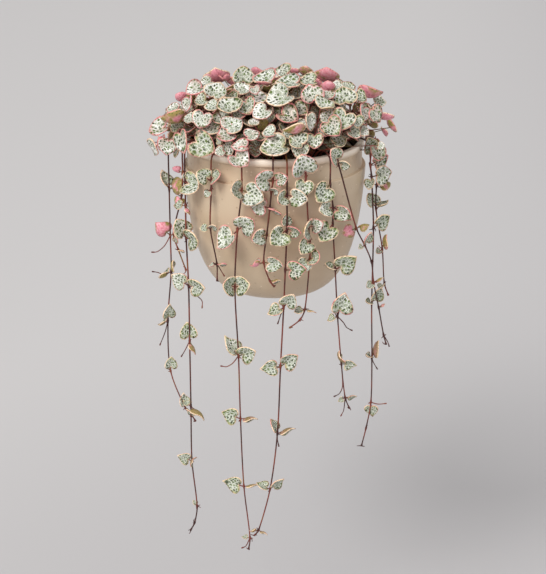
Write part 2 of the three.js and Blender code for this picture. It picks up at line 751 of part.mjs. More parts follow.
function layOut() {
  const hanging = [...frontStems(), ...backStems()];
  for (const stem of hanging) {
    for (const { point, leaves } of stem.joints) {
      leaves.forEach((numbers) => addHungLeaf(stem, point, numbers));
    }
  }
  const standing = tufts();
  MOUND_LEAVES.forEach((numbers) => addSeenLeaf(standing, numbers));
  const random = randomSource(FILLER_SEED);
  let filled = 0;
  for (let k = 0; k < FILLER_TRIES && filled < FILLER_LEAVES; k += 1) {
    filled += hangOnTuft(standing, fillerLeaf(k, random)) ? 1 : 0;
  }
  return [...hanging, ...standing];
}

// ---- The object -----------------------------------------------------------------------------

function leafyStem({ path, leaves }) {
  const blades = leaves.filter(({ width }) => width >= FINEST_BLADE).map(leafGeometry);
  return toGeometry(wasm.Manifold.union([stemGeometry(path), ...blades].map(toSolid)));
}

function finish(colour, roughness) {
  return new THREE.MeshStandardMaterial({ color: colour, roughness, metalness: 0 });
}

function named(name, geometry, material, origin) {
  const mesh = new THREE.Mesh(geometry.translate(-origin.x, -origin.y, -origin.z), material);
  mesh.name = name;
  mesh.position.copy(origin);
  return mesh;
}

const plant = layOut();
const mouth = vec(0, 0, 0);
const roots = plant.map((stem) => stem.path[0]);
const hangingPlant = new THREE.Group();
hangingPlant.add(named('pot', potGeometry(), finish(COLOURS.pot, 0.62), mouth));
hangingPlant.add(named('soil', soilGeometry(roots), finish(COLOURS.soil, 0.95), mouth));
plant.forEach((stem, k) => {
  const colour = k % 2 ? COLOURS.leaf : COLOURS.pale;
  hangingPlant.add(named(stem.name, leafyStem(stem), finish(colour, 0.5), stem.path[0]));
});

export default hangingPlant;
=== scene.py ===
import math

import bpy
import numpy as np
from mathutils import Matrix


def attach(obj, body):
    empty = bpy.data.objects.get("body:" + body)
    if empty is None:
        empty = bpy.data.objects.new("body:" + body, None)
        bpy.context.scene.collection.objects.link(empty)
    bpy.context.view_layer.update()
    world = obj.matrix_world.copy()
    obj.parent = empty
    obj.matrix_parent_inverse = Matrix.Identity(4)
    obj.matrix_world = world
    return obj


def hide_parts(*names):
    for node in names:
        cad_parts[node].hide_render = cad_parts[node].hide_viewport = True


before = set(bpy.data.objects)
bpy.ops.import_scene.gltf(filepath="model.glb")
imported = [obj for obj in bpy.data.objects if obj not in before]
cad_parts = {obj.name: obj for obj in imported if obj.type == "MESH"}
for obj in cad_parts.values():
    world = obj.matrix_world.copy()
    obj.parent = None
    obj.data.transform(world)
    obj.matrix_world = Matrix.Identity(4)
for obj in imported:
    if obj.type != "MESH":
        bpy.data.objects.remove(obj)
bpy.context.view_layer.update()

# A variegated string of hearts in a round hanging pot. Sizes are in millimetres until a mesh
# is finished. The origin is the centre of the pot's mouth, +Z up, and the front faces -Y.

bpy.ops.object.select_all(action="DESELECT")

MM = 0.001

# ---- The plant's layout, as its solids have it ----

POT_HEIGHT = 104
POT_RADIUS = 60
SHOULDER_RADIUS = 61.7
LIP_INNER = 56.6
BELLY_HEIGHT = -POT_HEIGHT + 40
SOIL_CROWN = -6.5
ROOT_DEPTH = -13
ROOT_RING = 46
STEM_RADIUS = 0.9
STALK_RADIUS = 0.5
BLADE_THICKNESS = 0.7
CLEARANCE = 0.5
MOUND = {"across": 84, "deep": 66, "high": 50, "base": -8, "power": 2.2}
EYE = np.array([-1, -1034, 268.6])
EYE_DROP = math.radians(20)
SIGHT_RANGE = (930, 1200)

# Joints of the hanging stems from the top down: [x, y, z, leaves], and a leaf as
# [width, angle, lean, roll].
FRONT_STEMS = {
    "a": [
        [-71, -12, -33, [[11, 122, 2, 94], [12, 33, -4, 163]]],
        [-71, -12, -66, [[12, 129, 30, -150]]],
        [-71, -12, -92, [[10, 215, 10, 75], [9, 70, 10, 130]]],
        [-74, -12, -128, [[8, 215, 0, 70], [10, 82, 0, 72]]],
        [-73, -12, -166, [[9, 85, 0, 50], [4, 130, 0, 60]]],
        [-63, -12, -195, [[9, 105, 0, 70], [8, -20, 0, 35]]],
        [-59, -12, -200, []],
        [-56, -12, -205, []],
    ],
    "b": [
        [-59, -33, -22, [[15, -2, 20, -26], [6, 82, -16, 35]]],
        [-59, -33, -38, [[7, 190, 10, 40], [6, -60, 0, 70]]],
        [-59, -33, -61, [[14, 112, 0, 64], [15, 10, 10, 8]]],
        [-58, -33, -95, [[12, 150, 10, 10], [13, 22, 0, 10]]],
        [-58, -33, -135, [[12, 98, 0, 35], [8, -60, 0, 66]]],
        [-58, -33, -184, [[10, -28, 0, 68], [5, 160, 0, 60]]],
        [-58, -33, -226, [[9, 150, 30, 20], [8, 60, 30, 140]]],
        [-55, -33, -262, [[4, 130, 0, 70]]],
        [-57, -33, -275, []],
        [-60, -33, -281, []],
    ],
    "c": [
        [-61, -24, -18, [[6, 160, 20, 160]]],
        [-62, -24, -34, [[7, -110, 10, 150]]],
        [-68, -24, -61, [[6, -60, 0, 20]]],
        [-65, -24, -72, [[5, 0, 10, 60]]],
        [-60, -24, -87, []],
    ],
    "d": [
        [-41, -51, -16, [[11, 142, 25, 34], [11, 40, 23, -51]]],
        [-41, -51, -21, [[6, 244, 20, 20]]],
        [-42, -51, -48, [[6, 185, 20, 40], [6, 30, 30, 30]]],
        [-38, -51, -73, [[4, 200, 20, 60], [6, 10, 10, 60]]],
        [-38, -51, -85, []],
    ],
    "e": [
        [-21, -62, -19, [[15, -16, 18, -18], [12, 148, 63, 44]]],
        [-24, -62, -46, [[16, 226, 10, 44], [15, 40, 20, 5]]],
        [-26, -62, -85, [[13, 138, 58, 43], [13, 23, 30, -21]]],
        [-24, -62, -134, [[13, 128, 0, 66], [13, 28, 0, 8]]],
        [-23, -62, -180, [[12, 162, 0, 5], [10, 8, 0, 64]]],
        [-21, -62, -231, [[12, 166, 0, 5], [9, 12, 0, 64]]],
        [-17, -62, -271, [[4, 180, 0, 70]]],
        [-18, -62, -280, []],
    ],
    "f": [
        [-1, -65, -12, [[14, 160, 20, 5], [9, 20, 20, 10]]],
        [-2, -65, -19, [[6, 30, 30, 10]]],
        [-3, -65, -30, [[12, 170, 15, 5], [9, -10, 30, 60]]],
        [-5, -65, -48, [[11, 185, 10, 0], [4, 0, 20, 60]]],
        [-7, -65, -67, [[8, 200, 0, 100], [11, -5, 10, 5]]],
        [-3, -65, -80, [[6, 10, 10, 60]]],
        [0, -65, -84, []],
    ],
    "g": [
        [8, -66, -21, [[10, 195, 20, 5], [12, -10, 20, 5]]],
        [8, -66, -44, [[14, 215, 25, 5], [10, -20, 20, 5], [8, 93, -15, 28]]],
        [7, -66, -72, [[13, 10, 20, 0]]],
        [6, -66, -98, [[12, 60, 20, 5], [10, 200, 20, 60]]],
        [4, -66, -140, [[12, 36, 0, 5], [11, 186, 0, 8]]],
        [2, -66, -189, [[10, 114, 0, 66], [10, 22, 0, 60]]],
        [-3, -66, -231, [[8, 158, 0, 66], [10, 42, 0, 40]]],
        [-11, -66, -263, [[5, 180, 20, 120], [5, -10, 20, 60]]],
        [-14, -66, -267, []],
    ],
    "h": [
        [20, -62, -10, [[17, 105, 20, 5], [12, -105, 20, 5]]],
        [22, -62, -44, [[13, 170, 20, 5], [10, 25, 30, 5]]],
        [23, -62, -52, [[11, 225, 30, 5]]],
        [23, -62, -65, [[10, 225, 10, 10], [11, 31, 64, -61]]],
        [20, -62, -101, [[6, 190, 10, 60], [6, -15, 10, 70]]],
        [17, -62, -108, []],
        [10, -62, -114, []],
    ],
    "i": [
        [36, -54, -17, [[14, 220, 20, 5]]],
        [38, -54, -33, [[11, 180, 20, 5], [12, -60, 30, 0]]],
        [38, -54, -44, [[14, -139, 23, 33]]],
        [40, -54, -76, [[16, 40, 25, 5], [8, 150, 10, 70]]],
        [42, -54, -109, [[16, 74, 0, 5], [6, 200, 0, 70]]],
        [45, -54, -143, [[9, 110, 10, 80], [8, -5, 20, 10]]],
        [48, -54, -168, [[4, 200, 0, 30], [6, 5, 10, 40]]],
        [51, -54, -176, []],
    ],
    "j": [
        [41, -51, -4, [[12, 124, 18, 30], [8, 10, 40, 30]]],
        [54, -42, -51, [[9, -160, -7, -167], [8, 10, 10, 100]]],
        [60, -39, -64, [[9, 80, 20, 20], [4, 200, 0, 60]]],
        [65, -35, -77, []],
        [67, -31, -93, [[6, 200, 10, 40], [6, 20, 10, 60]]],
        [71, -29, -112, [[4, 20, 0, 60]]],
        [75, -27, -133, []],
        [77, -27, -140, []],
    ],
    "k": [
        [64, -17, -8, [[12, 103, 3, 1]]],
        [64, -17, -15, [[12, 30, 20, 5]]],
        [65, -17, -23, [[14, 10, 20, 5], [8, 240, 20, 60]]],
        [67, -17, -59, [[13, 40, 20, 5]]],
        [67, -17, -113, [[12, 70, 20, 5], [6, 160, 10, 60]]],
        [68, -17, -154, [[6, 150, 0, 70], [11, 80, 0, 68]]],
        [68, -17, -188, [[10, -80, 0, 54]]],
        [65, -17, -208, []],
        [62, -17, -222, []],
    ],
    "l": [
        [69, -8, -32, [[10, 5, 10, 100]]],
        [69, -8, -48, [[11, 106, -24, -1], [9, 19, 10, -99]]],
        [74, -8, -77, [[10, 95, 20, 60], [5, 200, 0, 60]]],
        [76, -8, -102, [[6, 200, 10, 100]]],
        [79, -8, -111, []],
    ],
}

# Leaves of the mound as the camera sees them: [right, up, width, angle, turn, rise], with the
# angle of the tip in the view, and the turn and rise of the face.
MOUND_LEAVES = [
    [0, -8, 18, 190, 0, 58], [-48, -6, 17, -30, -10, 20], [-23, -16, 14, -40, 0, 45],
    [3, 25, 18, 200, 0, 58], [-21, 42, 14, 90, 0, 15], [-31, 20, 16, 130, 0, 60],
    [-33, 1, 14, 190, 0, 55], [39, 6, 14, -50, 0, 30], [25, 29, 15, 110, 0, 35],
    [10, 13, 16, -20, 0, 60], [47, 28, 16, 100, 0, 40], [35, 21, 14, 20, 10, 66],
    [35, 41, 17, 90, 170, 40], [-39, 40, 18, 100, 190, 42], [-39, 31, 15, 60, 0, 45],
    [-54, 31, 16, 200, -10, 70], [-49, 11, 13, -110, -5, 32], [-62, -3, 15, -80, -55, 10],
    [-78, 5, 14, 200, -20, 52], [-72, -7, 13, -100, -15, 10], [17, -9, 11, -110, 0, 30],
    [15, -3, 13, 150, 0, 50], [68, 15, 12, -60, 40, 15], [64, 28, 17, 0, 0, 118],
    [71, 23, 10, 0, 10, 50], [76, 13, 10, 10, 0, 130], [-68, 11, 16, 180, 0, 125],
    [-8, 38, 17, 170, 0, 68], [9, 36, 17, 180, 0, 72], [5, 44, 12, 160, 0, 50],
    [-28, 7, 14, 30, 0, 50], [-37, 12, 12, 160, 0, 55], [-50, 24, 10, 190, 0, 55],
    [-18, 20, 13, -70, -35, 35], [-9, 16, 12, -150, 0, 50], [-7, 7, 10, -150, 180, 25],
    [-14, 10, 7, 90, 0, 55], [-15, 1, 10, 20, 0, 55], [-43, 5, 14, 180, 0, 65],
    [-23, -7, 11, 180, 0, 60], [-22, -1, 9, 170, 0, 60], [46, 11, 15, -120, 0, 40],
    [35, 13, 11, 150, 0, 50], [55, 10, 10, -80, 30, 40], [54, 2, 10, -30, 10, 50],
    [60, 3, 9, -30, 15, 60], [44, -3, 11, 20, 0, 55], [60, 16, 11, -90, 60, 25],
    [23, 10, 12, -80, 60, 15], [19, 8, 8, 0, 0, 50], [13, 4, 16, 180, 0, 112],
    [27, -3, 11, -90, 0, 35], [17, 18, 12, -30, 0, 55], [58, 26, 10, -30, 20, 50],
    [50, 34, 10, 60, 10, 55], [42, 34, 8, 90, 0, 40], [23, 37, 12, 180, 0, 60],
    [21, 44, 10, 90, 160, 30], [-12, 44, 10, 100, 150, 30], [14, 44, 8, 30, 180, 40],
    [36, 34, 10, 90, 180, 20], [35, 28, 10, 120, 0, 50], [-21, 32, 11, 30, 0, 55],
    [-13, 31, 7, -60, 0, 40], [-12, 26, 16, 0, 0, 65], [-46, 36, 10, 200, 0, 60],
    [-58, 22, 12, -100, -65, 25], [-64, 27, 8, 150, 180, 20], [-68, 20, 9, 110, -30, 40],
    [-72, 16, 8, 100, -70, 10], [-61, 20, 9, 90, -20, 45], [-66, 8, 10, 120, -10, 45],
    [-81, -7, 12, -80, -60, 0], [-56, 13, 9, 90, -10, 35], [-43, 20, 10, 180, 0, 60],
    [-37, -3, 5, 0, 0, 45], [-37, -10, 7, 200, 0, 30], [-32, -8, 10, -60, 0, 30],
    [-25, 14, 10, 0, 0, 60], [-4, 2, 10, 180, 0, 60], [72, -6, 5, -10, 0, 20],
    [34, 3, 8, -60, 0, 45], [21, 3, 5, 0, 0, 45], [9, 1, 8, 170, 0, 55],
]

# The stems of the back: the degrees they hang at, and their lengths.
BACK_STEMS = {
    "m": [41, 66], "n": [59, 104], "o": [73, 122], "p": [94, 84], "q": [106, 112],
    "r": [127, 98], "s": [139, 56],
}
BACK_RADIUS = 65
BACK_JOINT_STEP = 25
FILLER_SEED = 7
CROWD_SEED = 31
DRESS_SEED = 57
GRIT_SEED = 19
FILLER_TRIES = 420
FILLER_LEAVES = 80
CROWD_TRIES = 3000
GOLDEN_ANGLE = 2.39996

# The tufts' rings: how many, their radius, the degrees of the first one, and how far they lean.
TUFT_RINGS = [[1, 0, 0, 0], [6, 25, 15, 2], [11, 47, 5, 5]]
TUFT_SHIFTS = [0, 3, -3, 6, -6, 9, -9]
TUFTS_TRIED = 6
LEAST_MEETING = 0.4

# How much a leaf of the mound may rise more, or be pushed away, until it finds room.
MORE_RISES = [0, 14, -14]
PUSHES = [0, 2, 4, -2, 6, 8, -4, 10, 12, 14, 16]

# Fine side shoots of the hanging stems: stem, joint, and where the shoot goes, as [x, z].
SIDE_SHOOTS = [
    ["a", 1, [-75, -73], [-80, -77], [-84, -77]],
    ["a", 2, [-76, -94], [-80, -92], [-84, -91]],
    ["a", 3, [-76, -136], [-80, -146]],
    ["b", 3, [-53, -101], [-49, -105], [-49, -110]],
    ["b", 4, [-61, -141], [-64, -146]],
    ["d", 3, [-36, -76], [-33, -81]],
    ["e", 3, [-28, -139], [-32, -141], [-36, -140]],
    ["e", 6, [-20, -277], [-23, -278]],
    ["g", 3, [4, -103], [2, -109]],
    ["g", 5, [2, -193], [3, -198]],
    ["i", 4, [46, -113], [48, -116], [52, -118]],
    ["i", 5, [46, -159], [44, -164], [40, -166]],
    ["i", 6, [47, -177], [45, -181]],
    ["j", 6, [78, -138], [79, -141]],
    ["k", 5, [69, -157], [72, -162]],
    ["k", 6, [73, -189], [79, -188]],
]

UP = np.array([0.0, 0.0, 1.0])
FRONT = np.array([0.0, -1.0, 0.0])
RIGHT = np.array([1.0, 0.0, 0.0])


def vec(x, y, z):
    return np.array([x, y, z], float)


def polar(radius, azimuth, z):
    return vec(radius * math.cos(azimuth), radius * math.sin(azimuth), z)


def unit(v):
    return v / np.linalg.norm(v)


MOUND_FOOT = vec(0, 0, MOUND["base"])
MOUND_SIZE = vec(MOUND["across"], MOUND["deep"], MOUND["high"])


def random_source(seed):
    state = seed

    def draw(low, high):
        nonlocal state
        state = (state * 1664525 + 1013904223) % 4294967296
        return low + (high - low) * (state / 4294967296)

    return draw


# ---- Room between leaves and stems ----

HEART = np.array(
    [[0.24, -0.15], [0.5, 0.1], [0.34, 0.5], [0, 0.78], [-0.34, 0.5], [-0.5, 0.1], [-0.24, -0.15]]
)
CORNERS = len(HEART)
SLANTS = [(0.8, 0.6), (-0.8, 0.6), (0.7, -0.7), (0.7, 0.7)]
MOST_PIECES = 6000
NO_LENGTH = 1e-3


def on_leaf(leaf, x, y, rise):
    """Places points on a leaf: x and y across and along it in leaf widths, the rise over it."""
    across = np.cross(leaf["tip"], leaf["face"])
    return (
        leaf["base"]
        + np.outer(x * leaf["width"], across)
        + np.outer(y * leaf["width"], leaf["tip"])
        + np.outer(rise, leaf["face"])
    )


def flat_piece(owner, kind, points, axes, along, skin):
    centre = points.mean(axis=0)
    return {
        "owner": owner,
        "kind": kind,
        "points": points[np.minimum(np.arange(CORNERS), len(points) - 1)],
        "axes": axes,
        "along": along,
        "skin": skin,
        "centre": centre,
        "reach": np.linalg.norm(points - centre, axis=1).max(),
    }


def blade_piece(owner, leaf):
    tip, face = leaf["tip"], leaf["face"]
    across = np.cross(tip, face)
    axes = np.array([face, across, tip] + [a * across + b * tip for a, b in SLANTS])
    x, y = HEART.T
    bend = leaf["cup"] * x * x - 0.08 * y * np.abs(y)
    points = on_leaf(leaf, x, y, bend * leaf["width"])
    return flat_piece(owner, "blade", points, axes, tip, BLADE_THICKNESS / 2)


def run_piece(owner, start, end, skin):
    points = np.array([start, end])
    return flat_piece(owner, "stem", points, np.zeros((CORNERS, 3)), unit(end - start), skin)


class Room:
    """The pieces laid out so far, and whether a new one keeps clear of them."""

    def __init__(self):
        self.pieces = []
        self.centres = np.zeros((MOST_PIECES, 3))
        self.reaches = np.zeros(MOST_PIECES)

    def add(self, *pieces):
        for piece in pieces:
            self.centres[len(self.pieces)] = piece["centre"]
            self.reaches[len(self.pieces)] = piece["reach"] + piece["skin"]
            self.pieces.append(piece)

    def is_clear(self, piece, gap=CLEARANCE):
        count = len(self.pieces)
        offset = self.centres[:count] - piece["centre"]
        reach = self.reaches[:count] + piece["reach"] + piece["skin"] + gap
        near = np.nonzero((offset**2).sum(axis=1) <= reach**2)[0]
        others = [self.pieces[k] for k in near]
        others = [
            other
            for other in others
            if other["owner"] != piece["owner"]
            or (other["kind"] == "blade" and piece["kind"] == "blade")
        ]
        return not others or self.all_apart(piece, others, gap)

    def all_apart(self, piece, others, gap):
        """Whether each of the others lies beyond the piece along some axis."""
        keys = ("points", "axes", "along", "skin", "centre")
        stack = {key: np.array([other[key] for other in others]) for key in keys}
        along = np.broadcast_to(piece["along"], stack["along"].shape)
        crossed = np.cross(along, stack["along"])
        offset = stack["centre"] - piece["centre"]
        extra = [offset, crossed, np.cross(along, crossed), np.cross(stack["along"], crossed)]
        own = np.broadcast_to(piece["axes"], (len(others), *piece["axes"].shape))
        axes = np.concatenate([own, stack["axes"], np.stack(extra, axis=1)], axis=1)
        mine = axes @ piece["points"].T
        theirs = np.einsum("mkc,mpc->mkp", axes, stack["points"])
        behind = mine.min(axis=2) - theirs.max(axis=2)
        ahead = theirs.min(axis=2) - mine.max(axis=2)
        length = np.linalg.norm(axes, axis=2)
        room = (stack["skin"] + piece["skin"] + gap)[:, None]
        needed = room * np.maximum(length, NO_LENGTH)
        apart = (length > NO_LENGTH) & (np.maximum(behind, ahead) > needed)
        return bool(apart.any(axis=1).all())


def clear_of_pot(points, room):
    reach = np.hypot(points[:, 0], points[:, 1])
    height = points[:, 2]
    beside = np.where(height < BELLY_HEIGHT, POT_RADIUS - 2, SHOULDER_RADIUS)
    wall = np.where(height < -POT_HEIGHT, 0, beside)
    within = reach < LIP_INNER - 1 - room
    fits = np.where(within, height > SOIL_CROWN + room + CLEARANCE, reach > wall + room + CLEARANCE)
    return bool(np.all(fits | (height > room + CLEARANCE)))


def between(start, end, steps):
    share = (np.arange(steps) + 1)[:, None] / steps
    return start + (end - start) * share


def blade_fits(room, piece, gap=CLEARANCE):
    points = piece["points"]
    samples = [between(points[k], points[(k + 1) % CORNERS], 4) for k in range(CORNERS)]
    samples += [between(point, piece["centre"], 3) for point in points]
    return clear_of_pot(np.concatenate(samples), piece["skin"]) and room.is_clear(piece, gap)


def stalk_fits(room, piece):
    samples = between(piece["points"][0], piece["points"][1], 12)
    return clear_of_pot(samples, STALK_RADIUS) and room.is_clear(piece)


# ---- Hanging stems ----

# Degrees more of angle, lean and roll that a hung leaf may take until it finds room.
TURNS = [
    [0, 0, 0], [0, 15, 0], [0, 0, 20], [0, 0, -20], [12, 10, 0], [-12, 10, 0], [0, 30, 0],
    [20, 20, 20], [-20, 20, -20], [0, -20, 0], [30, 0, 30], [-30, 0, -30], [0, 45, 0],
]


def stem_over_lip(azimuth, hang_radius):
    profile = [(ROOT_RING, ROOT_DEPTH), (ROOT_RING, -5), (51, 1), (58, 3.4)]
    profile += [(hang_radius - 1, 0), (hang_radius, -6)]
    return [polar(radius, azimuth, z) for radius, z in profile]


def hung_leaf(joint, numbers, turn):
    width = numbers[0]
    turned, tilted, rolled = (math.radians(a + b) for a, b in zip(numbers[1:], turn))
    facing = unit(vec(joint[0], joint[1], 0))
    if joint[1] < 0:
        facing = unit(facing + FRONT)
    right = vec(-facing[1], facing[0], 0)
    flat = right * math.cos(turned) + UP * math.sin(turned)
    tip = flat * math.cos(tilted) + facing * math.sin(tilted)
    upper = facing * math.cos(tilted) - flat * math.sin(tilted)
    face = upper * math.cos(rolled) + np.cross(tip, upper) * math.sin(rolled)
    base = joint + tip * (1.4 + 0.2 * width)
    foot = joint - 0.3 * tip
    return {"base": base, "tip": tip, "face": face, "width": width, "cup": 0.24, "foot": foot}


def stem_runs(name, path):
    return [run_piece(name, start, end, STEM_RADIUS) for start, end in zip(path, path[1:])]


def add_stem(room, name, path, joints=()):
    room.add(*stem_runs(name, path))
    return {"name": name, "path": path, "joints": list(joints), "leaves": []}


def add_hung_leaf(room, stem, joint, numbers):
    for turn in TURNS:
        leaf = hung_leaf(joint, numbers, turn)
        blade = blade_piece(stem["name"], leaf)
        if blade_fits(room, blade):
            room.add(blade)
            stem["leaves"].append(leaf)
            return


def front_stems(room):
    stems = []
    for letter, rows in FRONT_STEMS.items():
        points = [vec(x, y, z) for x, y, z, _ in rows]
        x, y, _ = points[0]
        lip = stem_over_lip(math.atan2(y, x), math.hypot(x, y))
        joints = [(point, row[3]) for point, row in zip(points, rows)]
        stems.append(add_stem(room, f"hanging_stem_{letter}", lip + points, joints))
    return stems


def back_stems(room):
    draw = random_source(FILLER_SEED)
    stems = []
    for letter, (degrees, length) in BACK_STEMS.items():
        azimuth = math.radians(degrees)
        joints = []
        z = -draw(12, 34)
        while z > -length:
            radius = BACK_RADIUS + draw(0, 2)
            point = polar(radius, azimuth + draw(-0.045, 0.045), z)
            side = draw(-30, 40)
            first = [draw(10, 15), side, draw(5, 40), draw(-20, 20)]
            width = draw(8, 14)
            second = [width, 180 - side + draw(-20, 20), draw(5, 40), draw(-20, 20)]
            joints.append((point, [first, second]))
            z -= BACK_JOINT_STEP * draw(0.7, 1.3)
        joints.append((polar(BACK_RADIUS + 1, azimuth, -length), [[5, 20, 10, 30]]))
        path = stem_over_lip(azimuth, BACK_RADIUS) + [point for point, _ in joints]
        stems.append(add_stem(room, f"hanging_stem_{letter}", path, joints))
    return stems


# ---- The mound ----


def place_on_mound(sight):
    """The first place where a line of sight meets the mound, or passes nearest to it."""
    path = EYE + np.outer(np.arange(*SIGHT_RANGE), sight)
    parts = (path - MOUND_FOOT) / MOUND_SIZE
    depth = (np.abs(parts) ** MOUND["power"]).sum(axis=1)
    met = np.nonzero(depth <= 1)[0]
    return path[met[0] if len(met) else int(np.argmin(depth))]


def seen_leaf(numbers, push, more):
    right, up, width, angle, turn, rise = numbers
    upward = vec(0, math.sin(EYE_DROP), math.cos(EYE_DROP))
    sight = unit(RIGHT * right + upward * up - EYE)
    centre = place_on_mound(sight) + sight * push
    risen = math.radians(rise + more)
    turned = math.radians(turn)
    level = math.cos(risen)
    face = vec(math.sin(turned) * level, -math.cos(turned) * level, math.sin(risen))
    flat = RIGHT * math.cos(math.radians(angle)) + upward * math.sin(math.radians(angle))
    facing = float(sight @ face)
    steady = math.copysign(max(abs(facing), 0.2), facing)
    tip = flat - sight * (float(flat @ face) / steady)
    tip = unit(tip - face * float(tip @ face))
    base = centre - 0.32 * width * tip
    return {"base": base, "tip": tip, "face": face, "width": width, "cup": 0.2}


def filler_leaf(k, draw):
    azimuth = k * GOLDEN_ANGLE
    height = draw(0.02, 0.98)
    level = math.sqrt(1 - height * height)
    away = vec(level * math.cos(azimuth), level * math.sin(azimuth), height)
    shell = away * vec(MOUND["deep"], MOUND["deep"], MOUND["high"])
    inner, outer = (0.62, 0.84) if away[1] < 0.15 else (0.7, 1)
    shell *= draw(inner, outer)
    shell[0] *= MOUND["across"] / MOUND["deep"]
    shell[2] += MOUND["base"]
    raised = draw(0, 0.8)
    aside = vec(draw(-1, 1), draw(-1, 1), draw(-0.5, 1))
    face = unit(away + UP * raised + aside * 0.55)
    tip = vec(away[0] + draw(-1, 1), away[1] + draw(-1, 1), draw(-1, 0.2))
    tip = unit(tip - face * float(tip @ face))
    return {"base": shell, "tip": tip, "face": face, "width": draw(9, 17), "cup": draw(0.1, 0.3)}


def tufts(room):
    stems = []
    for count, radius, first, lean in TUFT_RINGS:
        for k in range(count):
            name = f"tuft_{len(stems) + 1:02d}"
            for shift in TUFT_SHIFTS:
                azimuth = math.radians(first + k * 360 / count + shift)
                path = [
                    polar(radius, azimuth, ROOT_DEPTH),
                    polar(radius, azimuth, SOIL_CROWN + 1),
                    polar(radius + lean, azimuth, 18 - radius * 0.14),
                ]
                if all(room.is_clear(run) for run in stem_runs(name, path)):
                    break
            stems.append(add_stem(room, name, path))
    return stems


def foot_on_tuft(stem, leaf):
    _, collar, head = stem["path"]
    base = leaf["base"]
    sideways = math.hypot(base[0] - head[0], base[1] - head[1])
    share = (base[2] - 0.6 * sideways - collar[2]) / (head[2] - collar[2])
    return collar + (head - collar) * min(max(share, 0.15), 0.95)


def stalk_meets(leaf):
    """How straight a stalk comes to its blade from under it: 1 is straight."""
    way = unit(leaf["foot"] - leaf["base"])
    end = unit(leaf["face"] * float(way @ leaf["face"]) - leaf["tip"])
    return float(way @ end)


def nearest_first(stems, leaf):
    return sorted(stems, key=lambda stem: float(((stem["path"][2] - leaf["base"]) ** 2).sum()))


def hang_on_tuft(room, stems, leaf):
    for stem in nearest_first(stems, leaf)[:TUFTS_TRIED]:
        fitted = {**leaf, "foot": foot_on_tuft(stem, leaf)}
        if stalk_meets(fitted) <= LEAST_MEETING:
            continue
        blade = blade_piece(stem["name"], fitted)
        stalk = run_piece(stem["name"], fitted["foot"], fitted["base"], STALK_RADIUS)
        if blade_fits(room, blade) and stalk_fits(room, stalk):
            room.add(blade, stalk)
            stem["leaves"].append(fitted)
            return True
    return False


def add_seen_leaf(room, stems, numbers):
    for more in MORE_RISES:
        for push in PUSHES:
            if hang_on_tuft(room, stems, seen_leaf(numbers, push, more)):
                return


def lay_out():
    room = Room()
    hanging = front_stems(room) + back_stems(room)
    for stem in hanging:
        for joint, leaves in stem["joints"]:
            for numbers in leaves:
                add_hung_leaf(room, stem, joint, numbers)
    standing = tufts(room)
    for numbers in MOUND_LEAVES:
        add_seen_leaf(room, standing, numbers)
    draw = random_source(FILLER_SEED)
    filled = 0
    for k in range(FILLER_TRIES):
        if filled == FILLER_LEAVES:
            break
        filled += hang_on_tuft(room, standing, filler_leaf(k, draw))
    return room, hanging, standing


def crowd(room, standing):
    """More leaves that fill the mound between the laid-out ones, from large to small."""
    open_room = Room()
    open_room.add(*(piece for piece in room.pieces if piece["skin"] != STALK_RADIUS))
    draw = random_source(CROWD_SEED)
    for k in range(CROWD_TRIES):
        leaf = filler_leaf(k, draw)
        leaf["base"] = MOUND_FOOT + (leaf["base"] - MOUND_FOOT) * draw(0.6, 1.06)
        leaf["width"] *= 1 - 0.45 * k / CROWD_TRIES
        blade = blade_piece("crowd", leaf)
        if blade_fits(open_room, blade, 0):
            open_room.add(blade)
            near = nearest_first(standing, leaf)[0]
            near["leaves"].append({**leaf, "foot": foot_on_tuft(near, leaf)})


# ---- Shader nodes ----


class Shade:
    """One output of a material's nodes, with its maths written as plain expressions."""

    def __init__(self, tree, socket=None):
        self.tree = tree
        self.socket = socket

    def node(self, kind, values=None, output=0, **settings):
        """Adds a node: its settings first, then the values or links of its sockets."""
        made = self.tree.nodes.new(kind)
        for name, value in settings.items():
            setattr(made, name, value)
        for name, value in (values or {}).items():
            if isinstance(value, Shade):
                self.tree.links.new(value.socket, made.inputs[name])
            else:
                made.inputs[name].default_value = value
        return Shade(self.tree, made.outputs[output])

    def maths(self, operation, *others):
        values = dict(enumerate((self, *others)))
        return self.node("ShaderNodeMath", values, operation=operation)

    def __add__(self, other):
        return self.maths("ADD", other)

    def __sub__(self, other):
        return self.maths("SUBTRACT", other)

    def __rsub__(self, other):
        return self.node("ShaderNodeMath", {0: other, 1: self}, operation="SUBTRACT")

    def __mul__(self, other):
        return self.maths("MULTIPLY", other)

    __radd__ = __add__

    def ramp(self, low, high):
        """0 below low, 1 above high, smooth between."""
        sockets = {0: self, 1: low, 2: high}
        return self.node("ShaderNodeMapRange", sockets, interpolation_type="SMOOTHSTEP")

    def fade(self, low, high):
        """1 below low, 0 above high, smooth between."""
        return 1 - self.ramp(low, high)

    def part(self, axis):
        return self.node("ShaderNodeSeparateXYZ", {0: self}, output=axis)

    def shift(self, other, scale=1.0):
        """This vector plus another one, times a scale."""
        grown = self.node("ShaderNodeVectorMath", {0: other, 3: scale}, operation="SCALE")
        return self.node("ShaderNodeVectorMath", {0: self, 1: grown}, operation="ADD")


def linear(level):
    level /= 255
    return level / 12.92 if level <= 0.04045 else ((level + 0.055) / 1.055) ** 2.4


def paint(below, above, mask):
    """One colour over another by a mask. Each is a node's output or three levels of 0 to 255."""
    values = {0: mask, 6: below, 7: above}
    for name in (6, 7):
        if not isinstance(values[name], Shade):
            values[name] = (*map(linear, values[name]), 1.0)
    return mask.node("ShaderNodeMix", values, output=2, data_type="RGBA")


def noise(place, scale, detail, output=0):
    values = {"Vector": place, "Scale": scale, "Detail": detail}
    return place.node("ShaderNodeTexNoise", values, output)


